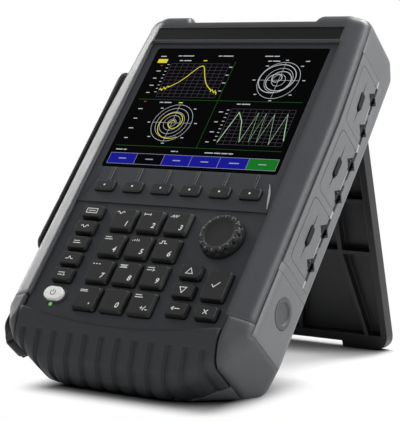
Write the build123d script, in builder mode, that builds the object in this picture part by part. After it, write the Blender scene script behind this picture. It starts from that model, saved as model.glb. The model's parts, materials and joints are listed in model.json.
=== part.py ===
"""Handheld microwave analyzer, leaning back on its fold-out stand.

Every piece is drawn in the instrument's own frame, in millimetres: x to the right, y up the face
and z out of the face towards the user, with the flat of the back at z = 0. The finished pieces are
then leaned back together, so that the case and the open stand rest on the floor.
"""

import os
from math import acos, cos, degrees, radians, sin, tan

from build123d import *

# Stance
lean_back = 40.2
over = 20.0
seam = 0.4
fit = 0.25
running_fit = 0.05

# Display, and the heights above it
screen_bottom = 158.3
screen_width = 132.5
screen_height = 99.4
screen_centre = screen_bottom + screen_height / 2
screen_top = screen_bottom + screen_height
frame_ledge_border = 3.3
face_border = 7.3
strip_border = 1.6
strip_height = 10.6
lip_border = 4.8
crown_border = 14.8
frame_ledge_top = screen_top + frame_ledge_border
face_top = screen_top + face_border
strip_bottom = face_top + strip_border
strip_top = strip_bottom + strip_height

# Case outline: the face seen from the front
case_height = strip_top + crown_border
case_half_width = 94.0
case_depth = 71.0
case_round = 10.0
corner_foot_half = 26.0
corner_sole = (56.0, 8.0)
corner_cheek = (80.0, 22.0)
corner_top = 43.0
taper_start = 205.0
shoulder_half = 88.5
shoulder_drop = 7.5
shoulder_height = case_height - shoulder_drop
crown_half = 84.5

# Case outline: the flank seen from the side
bulge_top = 38.0
belly = (12.0, 59.5)
heel_height = 0.0
heel_depth = 45.0
slant_top = heel_height + heel_depth * tan(radians(lean_back))
roof_back = 22.0
back_drop = 24.0
back_top = case_height - back_drop

# Case outline: the section across
back_half = 75.0
flank_back = 22.0
flank_front = 62.5
front_half = 74.0
lip_height = strip_top + lip_border
lip_half = 51.0
lip_flare = 13.0

# Shell walls and seams between the casings
frame_seam = 62.0
shell_wall = 7.0
cavity_back = 18.0
cavity_bottom = 46.0
well_drop = 22.0
well_floor = case_height - well_drop
well_floor_wall = 4.0
cavity_top = well_floor - well_floor_wall
bumper_inner = 77.0
bumper_top = 50.8
grip_half = 75.4
grip_back = 38.0
grip_wall = 5.0
grip_roof = 42.0
grip_band = 28.0
rib_count = 11
rib_pitch = 12.4
rib_grooves = ((5.4, 0.6), (2.2, 1.3))

# Face panel
face_half = 75.0
face_level = 67.4
face_back = 64.4
face_arc_end = 42.0
face_arc_middle = 34.4
ledge_level = 68.4
frame_ledge_half = 71.0
strip_half = 74.0
strip_level = 70.6
strip_thickness = 0.9

# Screen window and module
window_border = 2.6
module_side_border = 3.75
module_end_border = 2.3
window_level = 68.0
window_thickness = 1.6
window_corner = 2.0
module_half = screen_width / 2 + module_side_border
module_height = screen_height + 2 * module_end_border
module_back = 56.0

# Keys
key_travel = 1.2
key_top = 71.5
key_flange = 1.0
key_flange_thickness = 1.2
key_bevel = 1.2
key_corner = 1.6
key_edge = 0.5
key_lift = 0.2
number_left = -28.5
number_pitch = 21.2
number_top = 112.5
number_drop = 20.2
number_width = 15.3
number_height = 14.9
small_bevel = 0.8
function_count = 5
function_column = -55.3
function_top = 117.0
function_drop = 12.5
function_width = 13.8
function_height = 8.4
up_place = (38.9, 77.9)
down_place = (39.4, 64.0)
arrow_width = 14.0
arrow_height = 8.6
back_place = (40.2, 50.5)
escape_place = (61.7, 50.4)
command_width = 13.8
command_height = 8.1
enter_place = (60.8, 69.7)
enter_width = 15.2
enter_height = 19.6
softkey_count = 6
softkey_pitch = 22.6
softkey_row = 139.0
softkey_width = 13.8
softkey_height = 6.6
softkey_top = 70.6
softkey_bevel = 0.7
power_place = (-55.3, 52.7)
power_width = 14.5
power_height = 9.2
power_top = 71.2
power_rim = 1.6
power_rim_rise = 1.0
lamp_place = (-56.1, 45.9)
lamp_radius = 1.3
lamp_rise = 0.4

# Key mat and key board
mat_half = 73.0
mat_bottom = 47.5
mat_top = 149.0
mat_thickness = 2.0
board_thickness = 1.6

# Tuning knob
knob_place = (50.0, 105.2)
knob_radius = 15.2
knob_base = 67.8
knob_top = 74.8
knob_draft = 1.4
knob_edge = 1.2
knob_dish_radius = 11.0
knob_dish = 0.9
knob_notches = 14
knob_notch_radius = 0.9
knob_notch_height = 3.0
ledge_clear = 6.1
ledge_height = knob_place[1] + knob_radius + ledge_clear
shaft_radius = 3.0
encoder_half = 7.0
encoder_depth = 6.5

# Boards and shield
main_half = 68.0
main_bottom = 98.0
main_top = 252.0
main_back = 34.0
boss_radius = 4.0
boss_inset = 6.0
shield_half = 60.0
shield_bottom = 160.0
shield_top = 246.0
shield_height = 14.0
shield_wall = 1.0

# Flank panel and its three port doors
panel_inner = 84.0
panel_bottom = 97.0
panel_top = 263.0
panel_back = 24.6
panel_front = 60.8
door_centres = (126.5, 179.7, 233.5)
door_length = 47.0
door_axis_depth = 33.0
door_reach = 24.0
door_thickness = 3.5
door_corner = 4.0
door_gap = 0.4
pin_sink = 1.6
pin_radius = 0.8
knuckle_radius = 1.4
knuckle_place = 13.0
knuckle_length = 4.6
notch_length = 6.4
notch_reach = 4.6
hinge_groove = 3.0
door_heel = 1.9
thumb_length = 16.0
thumb_width = 4.6
thumb_depth = 1.8
thumb_line_length = 38.0
thumb_line_width = 1.2
thumb_line_depth = 0.6
thumb_place = 13.5
well_length = 38.0
well_width = 17.0
socket_length = 14.0
socket_width = 8.0
socket_depth = 11.0
socket_spread = 9.5
socket_wall = 1.0

# Battery door, its button and the battery
battery_door_bottom = 42.6
battery_door_top = 91.4
battery_door_inner = 89.6
battery_door_bevel = 1.2
battery_door_front = 61.2
battery_door_travel = 12.0
button_place = (72.0, 41.0)
button_radius = 10.0
button_flange = 1.5
button_flange_thickness = 2.0
button_travel = 2.0
button_dish = 1.0
button_dish_radius = 7.5
button_proud = 0.2
bay_bottom = 52.0
bay_top = 89.0
bay_back = 24.0
bay_front = 57.0
battery_left = -62.0
battery_right = 83.0
battery_round = 2.0

# Stand
stand_half = 75.0
stand_axis_height = 241.0
stand_axis_depth = 8.0
stand_length_share = 0.6975
stand_length = stand_length_share * stand_axis_height
stand_skin = 2.5
stand_rim = 5.0
stand_rib = 3.0
stand_rise = 1.0
stand_barrel = 6.0
stand_barrel_gap = 0.6
stand_bar = 12.0
stand_bar_start = 4.0
stand_foot_inner = 38.0
stand_foot_notch = 4.6
stand_foot_corner = 12.0
stand_cross_shares = (0.28, 0.55)
stand_spine_shares = (0.18, 0.62)
stand_splay_shares = (0.06, 0.78)
recess_depth = 10.0
recess_end_gap = 4.0
stand_pin_radius = 2.5
stand_pin_inner = 67.0
stand_pin_outer = 80.0

# Top panel and its coaxial jacks
well_half = 54.0
well_back = 9.0
well_front = 50.0
jack_depth = 34.0
port_place = 32.0
port_thread_radius = 7.94
port_thread_length = 16.0
port_collar_radius = 11.0
port_collar_length = 3.0
port_bore_radius = 4.3
port_bore_depth = 9.0
port_pin_radius = 0.85
port_pin_sink = 5.0
port_tail_radius = 6.0
port_tail_length = 12.0
small_jack_places = (-8.5, 8.5)
small_thread_radius = 3.175
small_thread_length = 9.5
small_collar_radius = 4.6
small_collar_length = 2.0
small_bore_radius = 2.1
small_bore_depth = 5.0
small_pin_radius = 0.64
small_pin_sink = 2.0
small_tail_radius = 2.4

# Case screws
upper_screw_drop = 35.0
upper_screw_place = 66.0
lower_screw_place = (60.0, 58.0)
upper_screw_height = case_height - upper_screw_drop
screw_places = (
    (upper_screw_place, upper_screw_height),
    (-upper_screw_place, upper_screw_height),
    lower_screw_place,
    (-lower_screw_place[0], lower_screw_place[1]),
)
screw_head_radius = 3.0
screw_head_length = 2.4
screw_shank_radius = 1.5
screw_length = 14.0
screw_slot = 1.0
screw_sink = 0.3

# Hand strap on the left flank
strap_depth = 36.0
strap_width = 16.0
strap_thickness = 1.6
hand_gap = 9.0
pad_bottom = 99.0
pad_top = 258.0
pad_width = 28.0
pad_thickness = 6.0
pad_corner = 8.0
pad_draw = 2.5
strap_stand_off = case_half_width + hand_gap + pad_thickness / 2
anchor_height = 12.0
anchor_base = 3.0
anchor_reach = 8.5
anchor_bar_radius = 2.0
anchor_ear = 2.5
anchor_ear_gap = 1.0
anchor_width = strap_width + 2 * (anchor_ear_gap + anchor_ear)
upper_anchor_drop = 20.0
upper_anchor_height = case_height - upper_anchor_drop
lower_anchor_height = 34.0
strap_play = 0.3
strap_tail = 6.0
strap_elbow_height = 40.0
strap_bend = 14.0

pieces = []


def keep(piece, node):
    """Name a finished piece and put it with the rest of the instrument."""
    piece.label = node
    pieces.append(piece)


def block(low, high, mode=Mode.ADD):
    """Fill or clear the room between two opposite corners."""
    size = Vector(*high) - Vector(*low)
    with Locations(Vector(*low)):
        Box(size.X, size.Y, size.Z, align=(Align.MIN, Align.MIN, Align.MIN), mode=mode)


# The outer form: three outlines, each drawn in by the edge rounding, then grown back by it
with BuildPart() as case_core:
    with BuildSketch(Plane.XY.offset(-over)):
        with BuildLine():
            Polyline(
                (0, heel_height),
                (corner_foot_half, heel_height),
                corner_sole,
                corner_cheek,
                (case_half_width, corner_top),
                (case_half_width, taper_start),
                (shoulder_half, shoulder_height),
                (crown_half, case_height),
                (0, case_height),
                close=True,
            )
        make_face()
        mirror(about=Plane.YZ)
        offset(amount=-case_round, kind=Kind.INTERSECTION)
    extrude(amount=case_depth + 2 * over)
    with BuildSketch(Plane.YZ.offset(-case_half_width)):
        with BuildLine():
            Polyline(
                (bulge_top, case_depth),
                belly,
                (heel_height, heel_depth),
                (slant_top, 0),
                (back_top, 0),
                (case_height, roof_back),
                (case_height, case_depth),
                close=True,
            )
        make_face()
        offset(amount=-case_round, kind=Kind.INTERSECTION)
    extrude(amount=2 * case_half_width, mode=Mode.INTERSECT)
    with BuildSketch(Plane.XZ.offset(-case_height - over)):
        with BuildLine():
            Polyline(
                (back_half, 0),
                (case_half_width, flank_back),
                (case_half_width, flank_front),
                (front_half, case_depth),
                (-front_half, case_depth),
                (-case_half_width, flank_front),
                (-case_half_width, flank_back),
                (-back_half, 0),
                close=True,
            )
        make_face()
        offset(amount=-case_round, kind=Kind.INTERSECTION)
    extrude(amount=case_height + 2 * over, mode=Mode.INTERSECT)


def drawn_in(inset):
    """Give the rounded form of the case, drawn in by an inset all over."""
    with BuildPart(mode=Mode.PRIVATE) as form:
        add(case_core.part)
        offset(amount=case_round - inset, kind=Kind.ARC)
    return form.part


# The whole case before it is parted, with the low lip between its two raised top corners
with BuildPart() as case_form:
    add(drawn_in(0))
    with BuildSketch(Plane.XY.offset(-over)):
        with BuildLine():
            Polyline(
                (-lip_half, lip_height),
                (lip_half, lip_height),
                (lip_half + lip_flare, case_height + over),
                (-lip_half - lip_flare, case_height + over),
                close=True,
            )
        make_face()
    extrude(amount=case_depth + 2 * over, mode=Mode.SUBTRACT)

# The stand's opening: its foot meets the floor that the heel of the case rests on
tip_up = Rot(90 - lean_back, 0, 0)
floor_level = (tip_up * case_form.part).bounding_box().min.Z
axis_level = stand_axis_height * cos(radians(lean_back)) + stand_axis_depth * sin(radians(lean_back))
stand_slope = degrees(acos((axis_level - floor_level) / stand_length))
stand_opening = lean_back + stand_slope


def face_edge(gap):
    """Draw the room under the face's sagging lower seam, down past the heel."""
    with BuildSketch(Plane.XY, mode=Mode.PRIVATE) as room:
        with BuildLine():
            ThreePointArc(
                (-bumper_inner, face_arc_end - gap),
                (0, face_arc_middle - gap),
                (bumper_inner, face_arc_end - gap),
            )
            Polyline(
                (bumper_inner, face_arc_end - gap),
                (bumper_inner, heel_height - over),
                (-bumper_inner, heel_height - over),
                (-bumper_inner, face_arc_end - gap),
            )
        make_face()
    return room.sketch


def door_plane(height):
    """Lay a plane on the flank at a door's hinge line: x up the flank, y to the front, z outward."""
    rise = Vector(0, 1, 0)
    place = case_half_width
    if height > taper_start:
        taper = Vector(shoulder_half - case_half_width, shoulder_height - taper_start, 0)
        rise = taper.normalized()
        place = case_half_width + taper.X * (height - taper_start) / taper.Y
    outward = Vector(rise.Y, -rise.X, 0)
    return Plane(origin=(place, height, door_axis_depth), x_dir=rise, z_dir=outward)


door_planes = [door_plane(height) for height in door_centres]
knuckle_places = (-knuckle_place, knuckle_place)


def door_slot(gap):
    """Draw the battery door's dovetail section, wider inside than out."""
    inner = battery_door_inner - gap
    spread = battery_door_bevel * (over + gap) / (case_half_width - battery_door_inner)
    with BuildSketch(Plane.XY.offset(-over), mode=Mode.PRIVATE) as slot:
        with BuildLine():
            Polyline(
                (inner, battery_door_bottom - gap),
                (inner, battery_door_top + gap),
                (inner + over + gap, battery_door_top + gap - spread),
                (inner + over + gap, battery_door_bottom - gap + spread),
                close=True,
            )
        make_face()
    return slot.sketch


# Front frame: the two pillars and the top bar round the face, with a ledge behind the face panel
with BuildPart() as front_frame:
    add(case_form.part)
    split(bisect_by=Plane.XY.offset(frame_seam), keep=Keep.TOP)
    block(
        (-case_half_width - over, heel_height - over, 0),
        (case_half_width + over, bumper_top + seam, case_depth + over),
        Mode.SUBTRACT,
    )
    block(
        (-frame_ledge_half, heel_height, 0),
        (frame_ledge_half, frame_ledge_top, case_depth + over),
        Mode.SUBTRACT,
    )
    block(
        (-face_half - fit, heel_height, face_back),
        (face_half + fit, face_top + fit, case_depth + over),
        Mode.SUBTRACT,
    )
    block(
        (-strip_half - fit, strip_bottom - fit, strip_level - strip_thickness),
        (strip_half + fit, strip_top + fit, case_depth + over),
        Mode.SUBTRACT,
    )
keep(front_frame.part, "front_frame")

# Name strip: the plain dark plate let into the top bar
with BuildPart() as name_strip:
    block(
        (-strip_half, strip_bottom, strip_level - strip_thickness),
        (strip_half, strip_top, strip_level),
    )
keep(name_strip.part, "name_strip")

# Rear shell: the hollow casing behind the frame, with the stand's recess in its back
with BuildPart() as rear_shell:
    add(case_form.part)
    split(bisect_by=Plane.XY.offset(frame_seam - seam), keep=Keep.BOTTOM)
    with BuildSketch(Plane.XZ.offset(-cavity_top)):
        with BuildLine():
            Polyline(
                (back_half, 0),
                (case_half_width, flank_back),
                (case_half_width, case_depth + over),
                (-case_half_width, case_depth + over),
                (-case_half_width, flank_back),
                (-back_half, 0),
                close=True,
            )
        make_face()
        offset(amount=-shell_wall, kind=Kind.INTERSECTION)
        with Locations((0, cavity_back)):
            Rectangle(
                2 * case_half_width,
                case_depth + over,
                align=(Align.CENTER, Align.MIN),
                mode=Mode.INTERSECT,
            )
    extrude(amount=cavity_top - cavity_bottom, mode=Mode.SUBTRACT)
    block((battery_left, grip_roof, bay_back), (-battery_left, bay_bottom, bay_front))
    for side in (-1, 1):
        with Locations((side * (bumper_inner + over) - side * seam, bumper_top + seam, 0)):
            Box(
                2 * over,
                case_height,
                2 * (case_depth + over),
                align=(Align.CENTER, Align.MAX, Align.CENTER),
                mode=Mode.SUBTRACT,
            )
    block(
        (-bumper_inner, heel_height - over, grip_back - seam),
        (bumper_inner, grip_roof, case_depth + over),
        Mode.SUBTRACT,
    )
    block(
        (
            -stand_half - stand_barrel_gap,
            stand_axis_height - stand_length - recess_end_gap,
            -over,
        ),
        (
            stand_half + stand_barrel_gap,
            stand_axis_height + stand_barrel + stand_barrel_gap,
            recess_depth,
        ),
        Mode.SUBTRACT,
    )
    with BuildSketch(Plane.YZ.offset(-stand_half - stand_barrel_gap)):
        with Locations((stand_axis_height, stand_axis_depth)):
            Circle(stand_barrel + stand_barrel_gap)
    extrude(amount=2 * (stand_half + stand_barrel_gap), mode=Mode.SUBTRACT)
    with BuildSketch(Plane.YZ.offset(-stand_pin_outer)):
        with Locations((stand_axis_height, stand_axis_depth)):
            Circle(stand_pin_radius)
    extrude(amount=2 * stand_pin_outer, mode=Mode.SUBTRACT)
    block(
        (panel_inner - fit, panel_bottom - fit, panel_back - fit),
        (case_half_width + over, panel_top + fit, case_depth + over),
        Mode.SUBTRACT,
    )
    extrude(door_slot(fit), amount=case_depth + 2 * over, mode=Mode.SUBTRACT)
    block(
        (panel_inner - over, bay_bottom, bay_back),
        (case_half_width, bay_top, bay_front),
        Mode.SUBTRACT,
    )
    block(
        (
            battery_door_inner - fit - button_flange_thickness - button_travel - fit,
            button_place[0] - button_radius - button_flange - fit,
            button_place[1] - button_radius - button_flange - battery_door_travel - fit,
        ),
        (
            case_half_width + over,
            button_place[0] + button_radius + button_flange + fit,
            bay_front,
        ),
        Mode.SUBTRACT,
    )
    block(
        (-well_half, well_floor, well_back),
        (well_half, case_height + over, well_front),
        Mode.SUBTRACT,
    )
    with BuildSketch(Plane.XZ.offset(-well_floor)):
        with Locations((-port_place, jack_depth), (port_place, jack_depth)):
            Circle(port_tail_radius)
        with Locations(*((place, jack_depth) for place in small_jack_places)):
            Circle(small_tail_radius)
    extrude(amount=port_tail_length, mode=Mode.SUBTRACT)
    with Locations(*((x, y, 0) for x, y in screw_places)):
        with Locations(Rot(180, 0, 0)):
            CounterBoreHole(
                screw_shank_radius,
                screw_head_radius + fit,
                screw_head_length + fit,
                screw_length + fit,
            )
    with BuildSketch(Plane.XY.offset(cavity_back)):
        with Locations(
            *(
                (side * (main_half - boss_inset), height)
                for side in (-1, 1)
                for height in (main_bottom + boss_inset, main_top - boss_inset)
            )
        ):
            Circle(boss_radius)
    extrude(amount=main_back - cavity_back)
keep(rear_shell.part, "rear_shell")

# Lower bumpers: the soft corners under the pillars, left and right
with BuildPart() as lower_bumpers:
    add(case_form.part)
    block(
        (-case_half_width - over, bumper_top, -over),
        (case_half_width + over, case_height + over, case_depth + over),
        Mode.SUBTRACT,
    )
    block(
        (-bumper_inner, heel_height - over, -over),
        (bumper_inner, case_height, case_depth + over),
        Mode.SUBTRACT,
    )
    extrude(door_slot(fit), amount=battery_door_front + fit + over, mode=Mode.SUBTRACT)
keep(lower_bumpers.part, "lower_bumpers")


# Bottom grip: the ribbed skin under the face, hollow behind
with BuildPart() as bottom_grip:
    add(case_form.part)
    split(bisect_by=Plane.XY.offset(grip_back), keep=Keep.TOP)
    extrude(face_edge(seam), amount=case_depth + over, mode=Mode.INTERSECT)
    for side in (-1, 1):
        with Locations((side * (grip_half + over), 0, 0)):
            Box(2 * over, case_height, 2 * (case_depth + over), mode=Mode.SUBTRACT)
    with BuildPart(mode=Mode.PRIVATE) as grip_hollow:
        add(drawn_in(grip_wall))
        Box(2 * (grip_half - grip_wall), 2 * case_height, 2 * case_depth, mode=Mode.INTERSECT)
    add(grip_hollow.part, mode=Mode.SUBTRACT)
    for groove_width, groove_depth in rib_grooves:
        with BuildPart(mode=Mode.PRIVATE) as grooves:
            for rib in range(rib_count + 1):
                with Locations(((rib - rib_count / 2) * rib_pitch, grip_band, 0)):
                    Box(
                        groove_width,
                        case_height,
                        2 * (case_depth + over),
                        align=(Align.CENTER, Align.MAX, Align.CENTER),
                    )
            add(drawn_in(groove_depth), mode=Mode.SUBTRACT)
        add(grooves.part, mode=Mode.SUBTRACT)
keep(bottom_grip.part, "bottom_grip")


def hinge_section(plane, place):
    """Lay a plane across a door's hinge line: x to the front, y outward, on the pin's axis."""
    origin = plane.from_local_coords(Vector(place, 0, -pin_sink))
    return Plane(origin=origin, x_dir=plane.y_dir, z_dir=plane.x_dir)


def diamond(place):
    """Draw the pointed cut-out that a hinge knuckle turns in."""
    with BuildSketch(Plane.XY, mode=Mode.PRIVATE) as outline:
        with BuildLine():
            Polyline(
                (place - notch_length / 2, 0),
                (place, -notch_reach),
                (place + notch_length / 2, 0),
                (place, notch_reach),
                close=True,
            )
        make_face()
    return outline.sketch


pocket_depth = door_thickness + fit
lug_spans = (
    (-door_length / 2, -knuckle_place - notch_length / 2),
    (notch_length / 2 - knuckle_place, knuckle_place - notch_length / 2),
    (knuckle_place + notch_length / 2, door_length / 2),
)

# Flank panel: the plate in the right flank with a pocket, a hinge line and a port well per door
with BuildPart() as side_panel:
    add(case_form.part)
    block(
        (panel_inner, panel_bottom, panel_back),
        (case_half_width + over, panel_top, panel_front),
        Mode.INTERSECT,
    )
    for plane in door_planes:
        with BuildSketch(plane.offset(-pocket_depth)) as pocket:
            with Locations((0, -hinge_groove)):
                Rectangle(
                    door_length + 2 * door_gap,
                    door_reach + door_gap + hinge_groove,
                    align=(Align.CENTER, Align.MIN),
                )
            fillet(pocket.vertices().group_by(Axis.Y)[-1], radius=door_corner + door_gap)
            for place in knuckle_places:
                add(diamond(place))
        extrude(amount=pocket_depth + over, mode=Mode.SUBTRACT)
        with BuildSketch(plane.offset(-case_half_width + panel_inner - over)):
            with Locations((0, thumb_place)):
                RectangleRounded(well_length, well_width, door_corner)
        extrude(amount=case_half_width - panel_inner + 2 * over, mode=Mode.SUBTRACT)
        for start, end in lug_spans:
            with BuildSketch(hinge_section(plane, start)):
                Circle(knuckle_radius)
                Rectangle(
                    2 * knuckle_radius,
                    pocket_depth - pin_sink,
                    align=(Align.CENTER, Align.MAX),
                )
                Circle(pin_radius + running_fit, mode=Mode.SUBTRACT)
            extrude(amount=end - start)
keep(side_panel.part, "side_panel")

# Port doors: each turns on its back edge and carries a thumb slot
for number, plane in enumerate(door_planes, start=1):
    with BuildPart() as port_door:
        with BuildSketch(plane.offset(-door_thickness)) as leaf:
            with Locations((0, door_heel)):
                Rectangle(
                    door_length,
                    door_reach - door_heel,
                    align=(Align.CENTER, Align.MIN),
                )
            fillet(leaf.vertices().group_by(Axis.Y)[-1], radius=door_corner)
            for place in knuckle_places:
                add(diamond(place), mode=Mode.SUBTRACT)
        extrude(amount=door_thickness)
        with BuildSketch(plane.offset(-thumb_depth)):
            with Locations((0, thumb_place)):
                SlotOverall(thumb_length, thumb_width)
        extrude(amount=thumb_depth + over, mode=Mode.SUBTRACT)
        with BuildSketch(plane.offset(-thumb_line_depth)):
            with BuildLine():
                Polyline(
                    (-thumb_line_length / 2, thumb_place),
                    (0, thumb_place - thumb_line_width),
                    (thumb_line_length / 2, thumb_place),
                    (0, thumb_place + thumb_line_width),
                    close=True,
                )
            make_face()
        extrude(amount=thumb_line_depth + over, mode=Mode.SUBTRACT)
        for place in knuckle_places:
            with BuildSketch(hinge_section(plane, place - knuckle_length / 2)):
                Circle(knuckle_radius)
            extrude(amount=knuckle_length)
            with BuildSketch(hinge_section(plane, place - knuckle_length / 4)):
                Rectangle(
                    notch_reach + door_heel,
                    knuckle_radius,
                    align=(Align.MIN, Align.CENTER),
                )
            extrude(amount=knuckle_length / 2)
            with BuildSketch(hinge_section(plane, place - knuckle_length / 2)):
                Circle(pin_radius + running_fit)
            extrude(amount=knuckle_length, mode=Mode.SUBTRACT)
    keep(port_door.part, f"port_door_{number}")

# Door hinge pins: one straight pin along the back edge of each door
with BuildPart() as door_hinge_pins:
    for plane in door_planes:
        with BuildSketch(hinge_section(plane, -door_length / 2)):
            Circle(pin_radius)
        extrude(amount=door_length)
keep(door_hinge_pins.part, "door_hinge_pins")

# Port sockets: a block behind each well with two plain sockets
panel_thickness = case_half_width - panel_inner
with BuildPart() as port_sockets:
    for plane in door_planes:
        seat = plane.offset(-panel_thickness)
        with BuildSketch(seat):
            with Locations((0, thumb_place)):
                Rectangle(well_length + 2 * socket_wall, well_width + 2 * socket_wall)
        extrude(amount=-socket_depth)
        with BuildSketch(seat):
            with Locations((-socket_spread, thumb_place), (socket_spread, thumb_place)):
                Rectangle(socket_length, socket_width)
        extrude(amount=socket_wall - socket_depth, mode=Mode.SUBTRACT)
keep(port_sockets.part, "port_sockets")

# Battery door: the lowest cover of the flank, slid out to the back in its dovetail
with BuildPart() as battery_door:
    add(case_form.part)
    extrude(door_slot(0), amount=battery_door_front + over, mode=Mode.INTERSECT)
    with BuildSketch(Plane.YZ.offset(case_half_width - over)):
        with Locations(button_place):
            Circle(button_radius + fit)
    extrude(amount=2 * over, mode=Mode.SUBTRACT)
keep(battery_door.part, "battery_door")

# Battery release button: the dished round press in the battery door
button_inner = battery_door_inner - fit - button_flange_thickness
with BuildPart() as release_button:
    with BuildSketch(Plane.YZ.offset(button_inner)):
        with Locations(button_place):
            Circle(button_radius + button_flange)
    extrude(amount=button_flange_thickness)
    with BuildSketch(Plane.YZ.offset(button_inner)):
        with Locations(button_place):
            Circle(button_radius)
    extrude(amount=case_half_width + button_proud - button_inner)
    with BuildSketch(Plane.YZ.offset(case_half_width + button_proud - button_dish)):
        with Locations(button_place):
            Circle(button_dish_radius - button_dish)
    with BuildSketch(Plane.YZ.offset(case_half_width + button_proud)):
        with Locations(button_place):
            Circle(button_dish_radius)
    loft(mode=Mode.SUBTRACT)
keep(release_button.part, "battery_release_button")

# Battery: the pack that the battery door closes in
with BuildPart() as battery_pack:
    block(
        (battery_left, bay_bottom, bay_back + fit),
        (battery_right, bay_top - fit, bay_front - fit),
    )
    fillet(battery_pack.edges().filter_by(Axis.X), radius=battery_round)
keep(battery_pack.part, "battery_pack")

# Places of the keys: node, centre, top width, top height, floor level, top level and side bevel
keys = []
for row in range(4):
    for column in range(3):
        node = ("1", "2", "3", "4", "5", "6", "7", "8", "9", "point", "0", "sign")[3 * row + column]
        centre = (number_left + column * number_pitch, number_top - row * number_drop)
        keys.append((f"key_{node}", centre, number_width, number_height, face_level, key_top, key_bevel))
for row in range(function_count):
    centre = (function_column, function_top - row * function_drop)
    keys.append(
        (f"function_key_{row + 1}", centre, function_width, function_height, face_level, key_top, small_bevel)
    )
for node, centre, width, height in (
    ("up_key", up_place, arrow_width, arrow_height),
    ("down_key", down_place, arrow_width, arrow_height),
    ("back_key", back_place, command_width, command_height),
    ("escape_key", escape_place, command_width, command_height),
    ("enter_key", enter_place, enter_width, enter_height),
):
    keys.append((node, centre, width, height, face_level, key_top, small_bevel))
for column in range(softkey_count):
    centre = ((column - (softkey_count - 1) / 2) * softkey_pitch, softkey_row)
    keys.append(
        (
            f"softkey_{column + 1}",
            centre,
            softkey_width,
            softkey_height,
            ledge_level,
            softkey_top,
            softkey_bevel,
        )
    )

flange_top = face_back - fit
flange_bottom = flange_top - key_flange_thickness
mat_front = flange_bottom - key_travel - fit
window_width = screen_width + 2 * window_border
window_height = screen_height + 2 * window_border
encoder_room = 2 * (encoder_half + fit)

# Face panel: the dark front with the key holes, the raised display surround and the power rim
with BuildPart() as face_panel:
    with BuildSketch(Plane.XY.offset(face_back)):
        with Locations((0, heel_height)):
            Rectangle(2 * face_half, face_top - heel_height, align=(Align.CENTER, Align.MIN))
        add(face_edge(0), mode=Mode.SUBTRACT)
    extrude(amount=face_level - face_back)
    with BuildSketch(Plane.XY.offset(face_back)):
        with Locations((0, ledge_height)):
            Rectangle(2 * face_half, face_top - ledge_height, align=(Align.CENTER, Align.MIN))
    extrude(amount=ledge_level - face_back)
    with BuildSketch(Plane.XY.offset(face_level)):
        with Locations(power_place):
            SlotOverall(power_width + 2 * power_rim, power_height + 2 * power_rim)
    extrude(amount=power_rim_rise)
    with BuildSketch(Plane.XY.offset(face_back - over)):
        for node, centre, width, height, level, top, bevel in keys:
            with Locations(centre):
                RectangleRounded(
                    width + 2 * (bevel + fit),
                    height + 2 * (bevel + fit),
                    key_corner + fit,
                )
        with Locations(power_place):
            SlotOverall(power_width + 2 * fit, power_height + 2 * fit)
        with Locations(lamp_place):
            Circle(lamp_radius + running_fit)
        with Locations(knob_place):
            Circle(shaft_radius + fit)
        with Locations((0, screen_centre)):
            Rectangle(screen_width, screen_height)
    extrude(amount=case_depth + over, mode=Mode.SUBTRACT)
    with BuildSketch(Plane.XY.offset(window_level - window_thickness)):
        with Locations((0, screen_centre)):
            RectangleRounded(window_width + 2 * fit, window_height + 2 * fit, window_corner + fit)
    extrude(amount=over, mode=Mode.SUBTRACT)
keep(face_panel.part, "face_panel")

# Display window: the clear cover over the screen
with BuildPart() as display_window:
    with BuildSketch(Plane.XY.offset(window_level - window_thickness)):
        with Locations((0, screen_centre)):
            RectangleRounded(window_width, window_height, window_corner)
    extrude(amount=window_thickness)
keep(display_window.part, "display_window")

# Display module: the screen behind the face panel
with BuildPart() as display_module:
    block(
        (-module_half, screen_centre - module_height / 2, module_back),
        (module_half, screen_centre + module_height / 2, face_back - fit),
    )
keep(display_module.part, "display_module")

# Keys: each has a flange behind the panel, a straight guide and a bevelled cap
for node, centre, width, height, level, top, bevel in keys:
    guide_top = level + key_travel + key_lift
    guide_width = width + 2 * bevel
    guide_height = height + 2 * bevel
    with BuildPart() as key:
        with BuildSketch(Plane.XY.offset(flange_bottom)):
            with Locations(centre):
                RectangleRounded(
                    guide_width + 2 * key_flange,
                    guide_height + 2 * key_flange,
                    key_corner + key_flange,
                )
        extrude(amount=key_flange_thickness)
        with BuildSketch(Plane.XY.offset(flange_bottom)):
            with Locations(centre):
                RectangleRounded(guide_width, guide_height, key_corner)
        extrude(amount=guide_top - flange_bottom)
        with BuildSketch(Plane.XY.offset(guide_top)):
            with Locations(centre):
                RectangleRounded(guide_width, guide_height, key_corner)
        with BuildSketch(Plane.XY.offset(top)):
            with Locations(centre):
                RectangleRounded(width, height, key_corner)
        loft()
        fillet(key.faces().sort_by(Axis.Z)[-1].edges(), radius=min(key_edge, (top - guide_top) / 2))
    keep(key.part, node)

# Power button: the white oval in its rim
with BuildPart() as power_button:
    with BuildSketch(Plane.XY.offset(flange_bottom)):
        with Locations(power_place):
            SlotOverall(power_width + 2 * key_flange, power_height + 2 * key_flange)
    extrude(amount=key_flange_thickness)
    with BuildSketch(Plane.XY.offset(flange_bottom)):
        with Locations(power_place):
            SlotOverall(power_width, power_height)
    extrude(amount=power_top - flange_bottom)
    fillet(power_button.faces().sort_by(Axis.Z)[-1].edges(), radius=key_edge)
keep(power_button.part, "power_button")

# Lamp lens: the light pipe under the power button
with BuildPart() as lamp_lens:
    with BuildSketch(Plane.XY.offset(face_back)):
        with Locations(lamp_place):
            Circle(lamp_radius)
    extrude(amount=face_level + lamp_rise - face_back)
keep(lamp_lens.part, "power_lamp_lens")

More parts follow.
